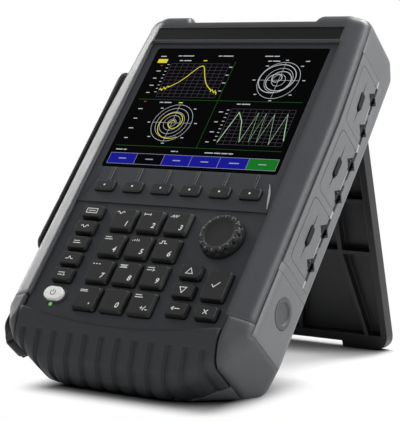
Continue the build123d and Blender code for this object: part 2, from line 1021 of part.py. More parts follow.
# Key mat and key board: they lie behind the keys, cut out round the encoder
for node, back in (
    ("keypad_mat", mat_front - mat_thickness),
    ("keypad_board", mat_front - mat_thickness - board_thickness),
):
    with BuildPart() as sheet:
        with BuildSketch(Plane.XY.offset(back)):
            with Locations((0, mat_bottom)):
                Rectangle(2 * mat_half, mat_top - mat_bottom, align=(Align.CENTER, Align.MIN))
            with Locations(knob_place):
                Rectangle(encoder_room, encoder_room, mode=Mode.SUBTRACT)
        extrude(amount=mat_thickness if node == "keypad_mat" else board_thickness)
    keep(sheet.part, node)

# Knob encoder: the turning sensor behind the panel
with BuildPart() as knob_encoder:
    with BuildSketch(Plane.XY.offset(face_back - encoder_depth)):
        with Locations(knob_place):
            Rectangle(2 * encoder_half, 2 * encoder_half)
    extrude(amount=encoder_depth)
    with BuildSketch(Plane.XY.offset(face_back - encoder_depth + board_thickness)):
        with Locations(knob_place):
            Circle(shaft_radius + running_fit)
    extrude(amount=encoder_depth, mode=Mode.SUBTRACT)
keep(knob_encoder.part, "knob_encoder")

# Tuning knob: a dished cap with notches round its rim, on its shaft
with BuildPart() as tuning_knob:
    with BuildSketch(Plane.XY.offset(knob_base)):
        with Locations(knob_place):
            Circle(knob_radius)
    with BuildSketch(Plane.XY.offset(knob_top)):
        with Locations(knob_place):
            Circle(knob_radius - knob_draft)
    loft()
    fillet(tuning_knob.faces().sort_by(Axis.Z)[-1].edges(), radius=knob_edge)
    with BuildSketch(Plane.XY.offset(knob_top - knob_dish)):
        with Locations(knob_place):
            Circle(knob_dish_radius - knob_dish)
    with BuildSketch(Plane.XY.offset(knob_top)):
        with Locations(knob_place):
            Circle(knob_dish_radius)
    loft(mode=Mode.SUBTRACT)
    with BuildSketch(Plane.XY.offset(knob_top - knob_notch_height)):
        with Locations(knob_place):
            with PolarLocations(knob_radius - knob_draft, knob_notches):
                Circle(knob_notch_radius)
    extrude(amount=over, mode=Mode.SUBTRACT)
    with BuildSketch(Plane.XY.offset(face_back - encoder_depth + board_thickness + fit)):
        with Locations(knob_place):
            Circle(shaft_radius)
    extrude(amount=knob_base - face_back + encoder_depth - board_thickness - fit)
keep(tuning_knob.part, "tuning_knob")

# Main board and the radio shield can on it
with BuildPart() as main_board:
    block((-main_half, main_bottom, main_back), (main_half, main_top, main_back + board_thickness))
keep(main_board.part, "main_board")

main_front = main_back + board_thickness
with BuildPart() as rf_shield_can:
    block(
        (-shield_half, shield_bottom, main_front),
        (shield_half, shield_top, main_front + shield_height),
    )
    block(
        (-shield_half + shield_wall, shield_bottom + shield_wall, main_front - over),
        (shield_half - shield_wall, shield_top - shield_wall, main_front + shield_height - shield_wall),
        Mode.SUBTRACT,
    )
keep(rf_shield_can.part, "rf_shield_can")

# Tilt stand: drawn folded into the back of the case, then swung open about its hinge
stand_inner = stand_axis_depth + stand_rise
foot_slant = tan(radians(stand_slope))
foot_outer_end = stand_axis_height - stand_length - stand_axis_depth * foot_slant
foot_inner_end = stand_axis_height - stand_length + stand_rise * foot_slant
stand_top = stand_axis_height - stand_bar
stand_bottom = foot_inner_end + stand_foot_notch + stand_rim
stand_span = stand_top - stand_bottom
stand_rows = [stand_top - share * stand_span for share in (0, *stand_cross_shares, 1)]


def spine_columns(row):
    """Give the places across the stand of the rims and spines at one row's edge."""
    shares = stand_spine_shares if row < len(stand_rows) - 1 else stand_splay_shares
    inner = [share * stand_half for share in shares]
    outer = stand_half - stand_rim + stand_rib / 2
    return [-outer, *(-place for place in reversed(inner)), *inner, outer]


with BuildPart() as tilt_stand:
    with BuildSketch(Plane.YZ.offset(-stand_half)):
        with BuildLine():
            Polyline(
                (stand_axis_height, stand_axis_depth - stand_barrel),
                (stand_axis_height - stand_bar_start, 0),
                (foot_outer_end, 0),
                (foot_inner_end, stand_inner),
                (stand_axis_height, stand_inner),
                close=True,
            )
        make_face()
    extrude(amount=2 * stand_half)
    foot_edges = tilt_stand.edges().filter_by(Plane.YZ).group_by(Axis.Y)[0]
    fillet(foot_edges, radius=stand_foot_corner)
    with BuildSketch(Plane.YZ.offset(-stand_half)):
        with Locations((stand_axis_height, stand_axis_depth)):
            Circle(stand_barrel)
    extrude(amount=2 * stand_half)
    block(
        (-stand_foot_inner, foot_outer_end - over, -over),
        (stand_foot_inner, foot_inner_end + stand_foot_notch, stand_inner + over),
        Mode.SUBTRACT,
    )
    with BuildSketch(Plane.XY.offset(stand_skin)):
        for row in range(len(stand_rows) - 1):
            upper = spine_columns(row)
            lower = spine_columns(row + 1)
            high = stand_rows[row] - stand_rib / 2
            low = stand_rows[row + 1] + stand_rib / 2
            for column in range(len(upper) - 1):
                with BuildLine():
                    Polyline(
                        (upper[column] + stand_rib / 2, high),
                        (upper[column + 1] - stand_rib / 2, high),
                        (lower[column + 1] - stand_rib / 2, low),
                        (lower[column] + stand_rib / 2, low),
                        close=True,
                    )
                make_face()
    extrude(amount=stand_inner + over, mode=Mode.SUBTRACT)
    for side in (-1, 1):
        with BuildSketch(Plane.YZ.offset(side * (stand_pin_inner - fit))):
            with Locations((stand_axis_height, stand_axis_depth)):
                Circle(stand_pin_radius + running_fit)
        extrude(amount=side * over, mode=Mode.SUBTRACT)
stand_axis = Axis((0, stand_axis_height, stand_axis_depth), (1, 0, 0))
keep(tilt_stand.part.rotate(stand_axis, stand_opening), "tilt_stand")

# Stand hinge pins: they carry the stand in the side walls of its recess
with BuildPart() as stand_hinge_pins:
    for side in (-1, 1):
        with BuildSketch(Plane.YZ.offset(side * stand_pin_inner)):
            with Locations((stand_axis_height, stand_axis_depth)):
                Circle(stand_pin_radius)
        extrude(amount=side * (stand_pin_outer - stand_pin_inner))
keep(stand_hinge_pins.part, "stand_hinge_pins")


def jack_stage(centre, level, radius, length, mode=Mode.ADD):
    """Add or cut one round stage of a jack, measured up from the well's floor."""
    with Locations((centre, well_floor + level, jack_depth)):
        Cylinder(
            radius,
            length,
            rotation=(-90, 0, 0),
            align=(Align.CENTER, Align.CENTER, Align.MIN),
            mode=mode,
        )


# Coaxial jacks: two threaded radio ports and two small ones, standing in the top well
with BuildPart() as coaxial_jacks:
    for centre in (-port_place, port_place):
        tip = port_collar_length + port_thread_length
        jack_stage(centre, 0, port_collar_radius, port_collar_length)
        jack_stage(centre, 0, port_thread_radius, tip)
        jack_stage(centre, tip - port_bore_depth, port_bore_radius, over, Mode.SUBTRACT)
        jack_stage(centre, 0, port_pin_radius, tip - port_pin_sink)
        jack_stage(centre, -port_tail_length, port_tail_radius, port_tail_length)
    for centre in small_jack_places:
        tip = small_collar_length + small_thread_length
        jack_stage(centre, 0, small_collar_radius, small_collar_length)
        jack_stage(centre, 0, small_thread_radius, tip)
        jack_stage(centre, tip - small_bore_depth, small_bore_radius, over, Mode.SUBTRACT)
        jack_stage(centre, 0, small_pin_radius, tip - small_pin_sink)
        jack_stage(centre, -port_tail_length, small_tail_radius, port_tail_length)
keep(coaxial_jacks.part, "coaxial_jacks")

# Case screws: four slotted screws through the back
with BuildPart() as case_screws:
    with BuildSketch(Plane.XY.offset(screw_sink)):
        with Locations(*screw_places):
            Circle(screw_head_radius)
    extrude(amount=screw_head_length - screw_sink)
    with BuildSketch(Plane.XY.offset(screw_sink)):
        with Locations(*screw_places):
            Circle(screw_shank_radius - running_fit)
    extrude(amount=screw_length - screw_sink)
    with BuildSketch(Plane.XY.offset(screw_sink)):
        with Locations(*screw_places):
            Rectangle(2 * screw_head_radius, screw_slot)
    extrude(amount=screw_slot, mode=Mode.SUBTRACT)
keep(case_screws.part, "case_screws")

# Hand strap: two bar anchors, one webbing from bar to bar and a pad on it
corner_run = Vector(case_half_width - corner_cheek[0], corner_cheek[1] - corner_top, 0).normalized()
corner_out = Vector(corner_run.Y, -corner_run.X, 0)
lower_surface = Vector(
    (corner_top - lower_anchor_height) * corner_run.X / -corner_run.Y - case_half_width,
    lower_anchor_height,
    strap_depth,
)
taper_run = Vector(case_half_width - shoulder_half, shoulder_height - taper_start, 0).normalized()
taper_out = Vector(-taper_run.Y, taper_run.X, 0)
upper_surface = Vector(
    (upper_anchor_height - taper_start) * taper_run.X / taper_run.Y - case_half_width,
    upper_anchor_height,
    strap_depth,
)
upper_bar = upper_surface + taper_out * anchor_reach
lower_bar = lower_surface + corner_out * anchor_reach

with BuildPart() as strap_anchors:
    for surface, out in ((upper_surface, taper_out), (lower_surface, corner_out)):
        seat = Plane(origin=surface, x_dir=(0, 0, 1), z_dir=out)
        with BuildSketch(seat):
            RectangleRounded(anchor_width, anchor_height, anchor_base)
        extrude(amount=anchor_base)
        with BuildSketch(seat):
            for side in (-1, 1):
                with Locations((side * (anchor_width - anchor_ear) / 2, 0)):
                    Rectangle(anchor_ear, 2 * anchor_bar_radius)
        extrude(amount=anchor_reach + anchor_bar_radius)
        bar_end = seat.from_local_coords(Vector(-anchor_width / 2, 0, anchor_reach))
        with BuildSketch(Plane(origin=bar_end, x_dir=out, z_dir=(0, 0, 1))):
            Circle(anchor_bar_radius)
        extrude(amount=anchor_width)
keep(strap_anchors.part, "strap_anchors")

hook = anchor_bar_radius + strap_play + strap_thickness / 2
strap_route = (
    lower_bar - corner_out * hook - corner_run * strap_tail,
    lower_bar - corner_out * hook + corner_run * hook,
    lower_bar + corner_out * hook + corner_run * hook,
    Vector(-strap_stand_off, strap_elbow_height, strap_depth),
    Vector(-strap_stand_off, pad_top, strap_depth),
    upper_bar + taper_out * hook + taper_run * hook,
    upper_bar - taper_out * hook + taper_run * hook,
    upper_bar - taper_out * hook - taper_run * strap_tail,
)
strap_bends = (
    hook - strap_play,
    hook - strap_play,
    strap_bend,
    strap_bend,
    hook - strap_play,
    hook - strap_play,
)


def strap_band(thickness, width):
    """Run a flat band of webbing along the strap's route."""
    with BuildPart(mode=Mode.PRIVATE) as band:
        with BuildSketch(Plane.XY.offset(strap_depth - width / 2)):
            with BuildLine(mode=Mode.PRIVATE) as route:
                FilletPolyline(*((point.X, point.Y) for point in strap_route), radius=strap_bends)
            trace(route.edges(), line_width=thickness)
        extrude(amount=width)
    return band.part


strap_webbing = strap_band(strap_thickness, strap_width)
keep(strap_webbing, "strap_webbing")

with BuildPart() as strap_pad:
    pad_middle = ((pad_bottom + pad_top) / 2, strap_depth)
    pad_length = pad_top - pad_bottom
    for place, draw in (
        (-strap_stand_off - pad_thickness / 2, pad_draw),
        (-strap_stand_off, 0),
        (-strap_stand_off + pad_thickness / 2, pad_draw),
    ):
        with BuildSketch(Plane.YZ.offset(place)):
            with Locations(pad_middle):
                RectangleRounded(pad_length - 2 * draw, pad_width - 2 * draw, pad_corner - draw)
    loft()
    add(strap_band(strap_thickness + 2 * strap_play, strap_width + 2 * strap_play), mode=Mode.SUBTRACT)
keep(strap_pad.part, "strap_pad")

# The whole instrument is leaned back and set on the floor with its foot print centred
leaning = [(piece.label, tip_up * piece) for piece in pieces]
whole = Compound([solid for label, piece in leaning for solid in piece.solids()]).bounding_box()
settle = Pos(-whole.center().X, -whole.center().Y, -whole.min.Z)
os.makedirs("parts", exist_ok=True)
for label, piece in leaning:
    placed = settle * piece
    placed.label = label
    export_step(placed, f"parts/{label}.step")
print("stand opening", round(stand_opening, 3), "settled by", settle.position, "size", whole.size)
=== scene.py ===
import json
import math

import bpy
from mathutils import Matrix, Vector


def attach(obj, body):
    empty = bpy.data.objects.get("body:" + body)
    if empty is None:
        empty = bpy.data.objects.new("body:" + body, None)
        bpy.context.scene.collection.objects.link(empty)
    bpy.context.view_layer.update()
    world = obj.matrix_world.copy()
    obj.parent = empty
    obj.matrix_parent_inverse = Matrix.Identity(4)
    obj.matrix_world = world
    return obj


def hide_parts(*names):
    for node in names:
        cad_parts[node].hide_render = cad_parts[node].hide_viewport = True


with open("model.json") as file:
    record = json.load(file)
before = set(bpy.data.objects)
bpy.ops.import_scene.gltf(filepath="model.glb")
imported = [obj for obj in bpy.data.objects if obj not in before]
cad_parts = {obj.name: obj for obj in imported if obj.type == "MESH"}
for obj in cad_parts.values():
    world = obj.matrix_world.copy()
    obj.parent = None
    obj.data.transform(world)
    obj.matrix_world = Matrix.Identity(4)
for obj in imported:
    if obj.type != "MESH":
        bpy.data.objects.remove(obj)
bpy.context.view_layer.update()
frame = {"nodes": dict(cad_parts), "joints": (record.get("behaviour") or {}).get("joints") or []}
nodes = frame["nodes"]

# The instrument's own frame. It leans back on its stand, so its pieces are drawn in millimetres as if it
# lay on its back: x across the face, y up the face and z out of it. The knob's axis says how it leans.
knob_turn = next(joint for joint in frame["joints"] if joint["name"] == "knob_turn")
knob_place, knob_foot = (50.0, 105.2), 67.4
knob_seat = Vector((*knob_place, knob_foot)) / 1000
out_of_face = Vector(knob_turn["axis"]).normalized()
across_face = Vector((1, 0, 0))
up_face = out_of_face.cross(across_face)
lean = Matrix((across_face, up_face, out_of_face)).transposed().to_4x4()
lean.translation = Vector(knob_turn["pos_m"]) - lean.to_3x3() @ knob_seat


# The camera stands low in front of the instrument's right corner, as the photographer's did, with a long
# lens. Its place and turn were fitted to the screen and the case. Lens and centre are in the photo's
# pixels.
picture_wide, picture_high = 400, 421
focal_length = 1549.1
picture_centre = (198.7, 212.2)
sensor_wide = 36
camera_place = Vector((558.8, -334.7, 751.3)) / 1000
camera_data = bpy.data.cameras.new("camera")
camera_data.sensor_fit = "HORIZONTAL"
camera_data.sensor_width = sensor_wide
camera_data.lens = sensor_wide * focal_length / picture_wide
camera_data.shift_x = (picture_wide / 2 - picture_centre[0]) / picture_wide
camera_data.shift_y = (picture_centre[1] - picture_high / 2) / picture_wide
camera = bpy.data.objects.new("camera", camera_data)
bpy.context.scene.collection.objects.link(camera)
bpy.context.scene.camera = camera
look = lean.to_3x3() @ Vector((-0.545, 0.467, -0.696))
rightward = lean.to_3x3() @ Vector((0.836, 0.361, -0.413))
rightward = (rightward - look * rightward.dot(look) / look.length_squared).normalized()
upward = rightward.cross(look).normalized()
camera.matrix_world = Matrix((rightward, upward, -look.normalized())).transposed().to_4x4()
camera.matrix_world.translation = lean @ camera_place


# The studio: a pale table that runs out to white, one broad soft box on the right, one overhead and a
# narrow one on the left that draws a line of light down the left pillar. The table is shaded only close to
# the sole and the stand, and a little deeper where they stand on it.
def linear(text, share=1.0):
    """Turn an sRGB hex colour into the linear colour that a shader takes, or a share of it."""
    channels = []
    for start in (0, 2, 4):
        value = int(text[start:start + 2], 16) / 255
        plain = value / 12.92 if value <= 0.04045 else ((value + 0.055) / 1.055) ** 2.4
        channels.append(plain * share)
    return (*channels, 1.0)


def add_node(tree, kind, inputs=None, **settings):
    """Add one node with its settings. Each input is a constant, or the socket that feeds it."""
    made = tree.nodes.new(kind)
    for key, value in settings.items():
        setattr(made, key, value)
    for socket, value in (inputs or {}).items():
        if isinstance(value, bpy.types.NodeSocket):
            tree.links.new(value, made.inputs[socket])
        else:
            made.inputs[socket].default_value = value
    return made


def calculate(tree, operation, first, second=None):
    """Work out one sum of numbers."""
    inputs = {0: first} if second is None else {0: first, 1: second}
    return add_node(tree, "ShaderNodeMath", inputs, operation=operation).outputs[0]


def directed(tree, operation, first, second=None):
    """Work out one sum of vectors."""
    inputs = {0: first} if second is None else {0: first, 1: second}
    made = add_node(tree, "ShaderNodeVectorMath", inputs, operation=operation)
    return made.outputs["Value" if operation in ("DOT_PRODUCT", "LENGTH") else 0]


def noise(tree, where, size_mm, detail, roughness=0.5):
    """Soft noise with forms of that size."""
    inputs = {"Scale": 1000 / size_mm, "Detail": detail, "Roughness": roughness, "Vector": where}
    return add_node(tree, "ShaderNodeTexNoise", inputs).outputs["Fac"]


def ranged(tree, value, source, target, **settings):
    """Carry a value over from one range to another."""
    inputs = {"Value": value, "From Min": source[0], "From Max": source[1],
              "To Min": target[0], "To Max": target[1]}
    return add_node(tree, "ShaderNodeMapRange", inputs, **settings).outputs["Result"]


def blend(tree, share, first, second):
    """Mix two colours."""
    return add_node(tree, "ShaderNodeMix", {0: share, 6: first, 7: second}, data_type="RGBA").outputs[2]


def bare_material(name):
    """Make a material with an empty tree and its output node."""
    material = bpy.data.materials.new(name)
    material.use_nodes = True
    material.node_tree.nodes.clear()
    return material, material.node_tree, add_node(material.node_tree, "ShaderNodeOutputMaterial")


def place_on_piece(tree):
    """The place on the piece itself, so that a pattern goes with it when it moves."""
    return add_node(tree, "ShaderNodeTexCoord").outputs["Object"]


def set_surface(tree, output, inputs):
    """Close a material with its one surface."""
    surface = add_node(tree, "ShaderNodeBsdfPrincipled", inputs)
    tree.links.new(surface.outputs[0], output.inputs["Surface"])


white = (1, 1, 1, 1)
shade_middle = (0.022, 0.0, 0.0)
shade_half = (0.055, 0.122, 0.0)
shade_fade = 0.028
contact_reach, contact_depth = 0.05, 1.6
table, tree, output = bare_material("pale_table_paper")
where = place_on_piece(tree)
shade = add_node(tree, "ShaderNodeValToRGB", {"Fac": noise(tree, where, 4, 3)})
shade.color_ramp.elements[0].color = linear("eeeeee")
shade.color_ramp.elements[1].color = linear("f6f6f6")
# Painted shadow: an occlusion node darkens the paper's own colour close to where the sole and the stand
# touch it.
hidden = add_node(tree, "ShaderNodeAmbientOcclusion", {"Distance": contact_reach}, samples=12)
dimmed = calculate(tree, "POWER", hidden.outputs["AO"], contact_depth)
dimmed = directed(tree, "MULTIPLY", shade.outputs["Color"], dimmed)
paper = add_node(tree, "ShaderNodeBsdfDiffuse", {"Color": dimmed})
glow = add_node(tree, "ShaderNodeEmission", {"Color": white, "Strength": 1.0})
away = directed(tree, "ABSOLUTE", directed(tree, "SUBTRACT", where, shade_middle))
away = directed(tree, "MAXIMUM", directed(tree, "SUBTRACT", away, shade_half), (0.0, 0.0, 0.0))
away = directed(tree, "LENGTH", away)
fade = ranged(tree, away, (0.0, shade_fade), (0.0, 1.0), interpolation_type="SMOOTHSTEP")
path = add_node(tree, "ShaderNodeLightPath").outputs
seen = calculate(tree, "MAXIMUM", path["Is Camera Ray"], path["Is Glossy Ray"])
seen = calculate(tree, "MAXIMUM", seen, path["Is Transmission Ray"])
share = calculate(tree, "MULTIPLY", seen, fade)
mixed = add_node(tree, "ShaderNodeMixShader", {0: share, 1: paper.outputs[0], 2: glow.outputs[0]})
tree.links.new(mixed.outputs[0], output.inputs["Surface"])

reach, level = 3, -0.0002
floor_mesh = bpy.data.meshes.new("table")
square = ((-1, -1), (1, -1), (1, 1), (-1, 1))
one_face = [(0, 1, 2, 3)]
floor_mesh.from_pydata([(a * reach, b * reach, level) for a, b in square], [], one_face)
floor_mesh.materials.append(table)
table_top = bpy.data.objects.new("table", floor_mesh)
bpy.context.scene.collection.objects.link(table_top)

world = bpy.data.worlds.new("studio")
bpy.context.scene.world = world
world.use_nodes = True
tree = world.node_tree
tree.nodes.clear()
output = add_node(tree, "ShaderNodeOutputWorld")
room = add_node(tree, "ShaderNodeBackground", {"Color": white, "Strength": 0.5})
backdrop = add_node(tree, "ShaderNodeBackground", {"Color": white, "Strength": 1.0})
path = add_node(tree, "ShaderNodeLightPath").outputs
seen = calculate(tree, "MAXIMUM", path["Is Camera Ray"], path["Is Transmission Ray"])
mixed = add_node(tree, "ShaderNodeMixShader", {0: seen, 1: room.outputs[0], 2: backdrop.outputs[0]})
tree.links.new(mixed.outputs[0], output.inputs["Surface"])

for name, place, aim, size, power in (
        ("soft_box_right", (0.85, 0.25, 0.60), (0.08, 0.03, 0.16), (0.7, 0.7), 8.0),
        ("soft_box_top", (0.20, 0.75, 1.05), (0.0, 0.0, 0.05), (0.7, 0.5), 16.0),
        ("strip_light_left", (-1.1, 0.35, 0.50), (-0.05, 0.0, 0.12), (0.3, 1.0), 6.5)):
    lamp_data = bpy.data.lights.new(name, "AREA")
    lamp_data.shape = "RECTANGLE"
    lamp_data.size, lamp_data.size_y = size
    lamp_data.energy = power
    lamp = bpy.data.objects.new(name, lamp_data)
    bpy.context.scene.collection.objects.link(lamp)
    lamp.matrix_world = (Vector(place) - Vector(aim)).to_track_quat("Z", "Y").to_matrix().to_4x4()
    lamp.matrix_world.translation = place

bpy.context.scene.view_settings.view_transform = "Standard"


# Rear shell: the deep grey half of the case, with the left flank, the back and the well for the jacks.
# It is injection moulded from polycarbonate with a fine spark-eroded grain, a little paler on its edges.
cloud_mm, cloud_range = 45, (0.3, 0.7)
edge_bend, edge_wear_and_highlight = (0.98, 0.80), (0.0, 0.7)
grit_range, grit_tone = (0.35, 0.65), (0.94, 1.06)


def moulded(name, tint, edge_tint, roughness, grain_mm, depth_mm, edge_mm=0.5, gleam=0.5, metal=0.0):
    """Moulded plastic or rubber: grain from the mould, faint cloudy tone and paler edges. On narrow
    edges the paler tint is rubbed wear; on broad rounds, as on the front frame, it is a painted highlight.
    """
    material, tree, output = bare_material(name)
    where = place_on_piece(tree)
    shape = add_node(tree, "ShaderNodeNewGeometry").outputs["Normal"]
    rounded = add_node(tree, "ShaderNodeBevel", {"Radius": edge_mm / 1000}, samples=6).outputs["Normal"]
    grit = noise(tree, where, grain_mm, 3.0, 0.6)
    relief = {"Strength": 0.6, "Distance": depth_mm / 1000, "Height": grit, "Normal": rounded}
    bump = add_node(tree, "ShaderNodeBump", relief)
    cloud = noise(tree, where, cloud_mm, 4.0)
    # Paler edges: rubbed wear on narrow edges, a painted highlight on broad rounds.
    edge = ranged(tree, directed(tree, "DOT_PRODUCT", rounded, shape), edge_bend, edge_wear_and_highlight)
    body = blend(tree, cloud, linear(tint, 0.90), linear(tint, 1.10))
    speckled = directed(tree, "MULTIPLY", body, ranged(tree, grit, grit_range, grit_tone))
    colour = blend(tree, edge, speckled, linear(edge_tint))
    gloss = ranged(tree, cloud, cloud_range, (roughness - 0.05, roughness + 0.05))
    set_surface(tree, output, {"Base Color": colour, "Roughness": gloss, "Normal": bump.outputs["Normal"],
                               "IOR": 1.5, "Specular IOR Level": gleam, "Metallic": metal})
    return material


def dress(material, *names):
    """Give a finish to CAD nodes."""
    for name in names:
        mesh = nodes[name].data
        mesh.materials.clear()
        mesh.materials.append(material)


# The grain is 0.3 mm on the real case and drawn at 1.1 mm, so that it shows.
grey_polycarbonate = moulded("grained_grey_polycarbonate", "5b5c5e", "707173", 0.48, 1.1, 0.05)
dress(grey_polycarbonate, "rear_shell")

# Case screws and pins: four slotted screws in the back, the hinge pins and the encoder's shaft, turned from
# steel rod and zinc plated.
zinc, tree, output = bare_material("zinc_plated_steel")
where = place_on_piece(tree)
turned = noise(tree, where, 0.8, 2.0)
gloss = ranged(tree, turned, (0.0, 1.0), (0.28, 0.42))
tone = blend(tree, turned, linear("9a9da1"), linear("b4b6b8"))
set_surface(tree, output, {"Base Color": tone, "Roughness": gloss, "Metallic": 1.0})
dress(zinc, "case_screws", "stand_hinge_pins", "door_hinge_pins", "knob_encoder")

# Lower bumpers: the two corner caps that take the knocks, moulded in a soft thermoplastic rubber over the
# shell. Their edges are broad and soft.
bumper_rubber = moulded("soft_touch_grey_rubber", "434447", "535457", 0.55, 1.3, 0.05, 4.0)
dress(bumper_rubber, "lower_bumpers")

# Bottom grip: the heel that the instrument stands on, with its upright ribs. It is moulded in matt black
# rubber and pressed over the foot of the shell.
grip_rubber = moulded("matt_black_rubber", "2a2c2f", "303235", 0.62, 1.2, 0.05, 2.5)
dress(grip_rubber, "bottom_grip")

# Inside the case: boards in green solder mask, a folded shield of tinned steel over the radio part, the
# keys' silicone mat, and the battery and the sockets in black ABS.
solder_mask = moulded("green_solder_mask", "1e5a36", "3c7a52", 0.35, 1.5, 0.02)
dress(solder_mask, "main_board", "keypad_board")
tinned = moulded("tinned_steel_sheet", "b4b7b9", "c8cacc", 0.35, 2.0, 0.01, metal=1.0)
dress(tinned, "rf_shield_can")
mat_rubber = moulded("moulded_silicone_mat", "3a3b3e", "46484b", 0.6, 1.0, 0.03)
dress(mat_rubber, "keypad_mat")
pack_plastic = moulded("black_battery_abs", "1d1e20", "2c2d30", 0.5, 1.0, 0.03)
dress(pack_plastic, "battery_pack", "port_sockets")

# Face panel: the dark plate round the screen and under the keys, moulded ABS with a fine matt grain. Two
# fine ribs lead from each softkey up to its label, and a bead closes each end of the softkey row.
softkey_pitch = 22.6
softkey_row = 139.0
ledge_level = 68.3
rib_middle, rib_half_length, rib_side = 149.4, 5.4, 0.75
rib_foot, rib_crest = (0.5, ledge_level), (0.25, 69.0)
bead_top, bead_drop, bead_start, bead_lean = 148.0, 19.2, 66.8, 5.4
face_abs = moulded("fine_grain_charcoal_abs", "2e3136", "3a3d42", 0.52, 0.9, 0.04, 0.4)
dress(face_abs, "face_panel")
x_axis, y_axis, z_axis = Vector((1, 0, 0)), Vector((0, 1, 0)), Vector((0, 0, 1))
origin = Vector((0, 0, 0))


def shaped(name, points, faces):
    """Make an object from points in the instrument's millimetres."""
    mesh = bpy.data.meshes.new(name)
    mesh.from_pydata([Vector(point) / 1000 for point in points], [], faces)
    mesh.transform(lean)
    piece = bpy.data.objects.new(name, mesh)
    bpy.context.scene.collection.objects.link(piece)
    return piece


def put(name, points, faces, body, material):
    """Make one piece with its finish, on its body."""
    piece = shaped(name, points, faces)
    piece.data.materials.append(material)
    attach(piece, body)
    return piece


def raised(name, outlines, seat, along, across, body, material):
    """Stand low forms on a surface. Each is rings of points (along, across, height) from a seat."""
    rise = along.cross(across)
    points, faces = [], []
    for rings in outlines:
        start, count = len(points), len(rings[0])
        for loop in rings:
            points += [seat + along * a + across * b + rise * h for a, b, h in loop]
        for k in range(len(rings) - 1):
            for c in range(count):
                low, high = start + k * count, start + (k + 1) * count
                faces.append((low + c, low + (c + 1) % count, high + (c + 1) % count, high + c))
        faces.append(tuple(start + c for c in reversed(range(count))))
        faces.append(tuple(start + (len(rings) - 1) * count + c for c in range(count)))
    return put(name, points, faces, body, material)


rib_rings = []
for key in range(6):
    for side in (-rib_side, rib_side):
        middle = (key - 2.5) * softkey_pitch + side
        rib_rings.append([[(middle + a * half, rib_middle + b * rib_half_length, height) for a, b in square]
                          for half, height in (rib_foot, rib_crest)])
# Painted highlight: the ribs are coloured a paler grey than the face, where they catch light.
rib_highlight_abs = moulded("pale_grey_abs_rib_painted_highlight", "4a4c50", "606266", 0.45, 0.9, 0.02, 0.2)
raised("softkey_leader_ribs", rib_rings, origin, x_axis, y_axis, "case", rib_highlight_abs)


def bead(side, widest, peak):
    """Rings of one end bead: a thin crescent that stands up from the face."""
    inner, outer = [], []
    for step in range(13):
        share = step / 12
        x = bead_start + bead_lean * share + 0.9 * math.sin(math.pi * share) * (1 - share)
        swell = widest * math.sin(math.pi * share) + 0.12
        inner.append((side * (x - swell), bead_top - bead_drop * share))
        outer.append((side * (x + swell), bead_top - bead_drop * share))
    loop = inner + outer[::-1] if side < 0 else outer[::-1] + inner
    return [[(x, y, ledge_level) for x, y in loop], [(x, y, peak) for x, y in loop]]


# Painted highlight: the right bead is coloured near white where its end wall catches light; the left one
# keeps the face's colour.
bead_highlight_abs = moulded("pale_grey_abs_bead_painted_highlight", "b6b8ba", "c4c6c8", 0.25, 1.0, 0.01, 0.2)
for name, side, widest, peak, material in (("softkey_row_right_bead", 1, 0.55, 68.9, bead_highlight_abs),
                                           ("softkey_row_left_bead", -1, 0.3, 68.7, face_abs)):
    raised(name, [bead(side, widest, peak)], origin, x_axis, y_axis, "case", material)

# Screen: a glossy dark panel behind a flat window of hard-coated acrylic. The picture on it is light, so
# its lines glow: four plots, a line of readings above and below them, and a row of six softkey labels.
screen_panel = moulded("dark_screen_panel", "060708", "0b0c0e", 0.25, 1.0, 0.005)
dress(screen_panel, "display_module")
window, tree, output = bare_material("hard_coated_acrylic")
where = place_on_piece(tree)
smear = noise(tree, where, 18, 3.0)
gloss = ranged(tree, smear, (0.0, 1.0), (0.08, 0.16))
depth = blend(tree, smear, linear("010102"), linear("030304"))
set_surface(tree, output, {"Base Color": depth, "Roughness": gloss,
                           "IOR": 1.33, "Specular IOR Level": 0.05})
dress(window, "display_window")


def lit(name, tint, strength):
    """Lit pixels: an even glow with the faint mesh of 0.2 mm pixels, drawn at 0.7 mm so that it shows."""
    material, tree, output = bare_material(name)
    where = place_on_piece(tree)
    squares = {"Scale": 1000 / 0.7, "Color1": linear(tint), "Color2": linear(tint, 0.85), "Vector": where}
    mesh = add_node(tree, "ShaderNodeTexChecker", squares).outputs["Color"]
    set_surface(tree, output, {"Base Color": (0.002, 0.002, 0.002, 1), "Roughness": 0.4,
                               "Specular IOR Level": 0.05, "Emission Color": mesh,
                               "Emission Strength": strength})
    return material


def ribbon(stroke, width):
    """Points and faces of a flat line of that width along a stroke of points."""
    closed = stroke[0] == stroke[-1]
    count = len(stroke)
    points = []
    for index, (x, y) in enumerate(stroke):
        before = stroke[index - 1] if index else (stroke[-2] if closed else stroke[0])
        after = stroke[index + 1] if index + 1 < count else (stroke[1] if closed else stroke[-1])
        into = Vector((x - before[0], y - before[1])).normalized()
        onward = Vector((after[0] - x, after[1] - y)).normalized()
        along = into + onward
        along = along.normalized() if along.length > 0.2 else (into if into.length else onward)
        spread = width / 2 / max(0.5, along.dot(into if into.length else onward))
        points.append((x - along.y * spread, y + along.x * spread))
        points.append((x + along.y * spread, y - along.x * spread))
    faces = [(2 * k, 2 * k + 1, 2 * k + 3, 2 * k + 2) for k in range(count - 1)]
    return points, faces


def flat_piece(name, shapes, level, body, material):
    """Lay flat shapes, each of points and faces in millimetres, at one level over the face."""
    points, faces = [], []
    for shape_points, shape_faces in shapes:
        start = len(points)
        points += [(x, y, level) for x, y in shape_points]
        faces += [[start + corner for corner in face] for face in shape_faces]
    return put(name, points, faces, body, material)


screen_left, screen_top, screen_wide, screen_high = -66.25, 257.7, 132.5, 99.4
screen_level = 68.0


def on_screen(across, down):
    """A point of the picture from its share of the screen's width and height."""
    return screen_left + across * screen_wide, screen_top - down * screen_high


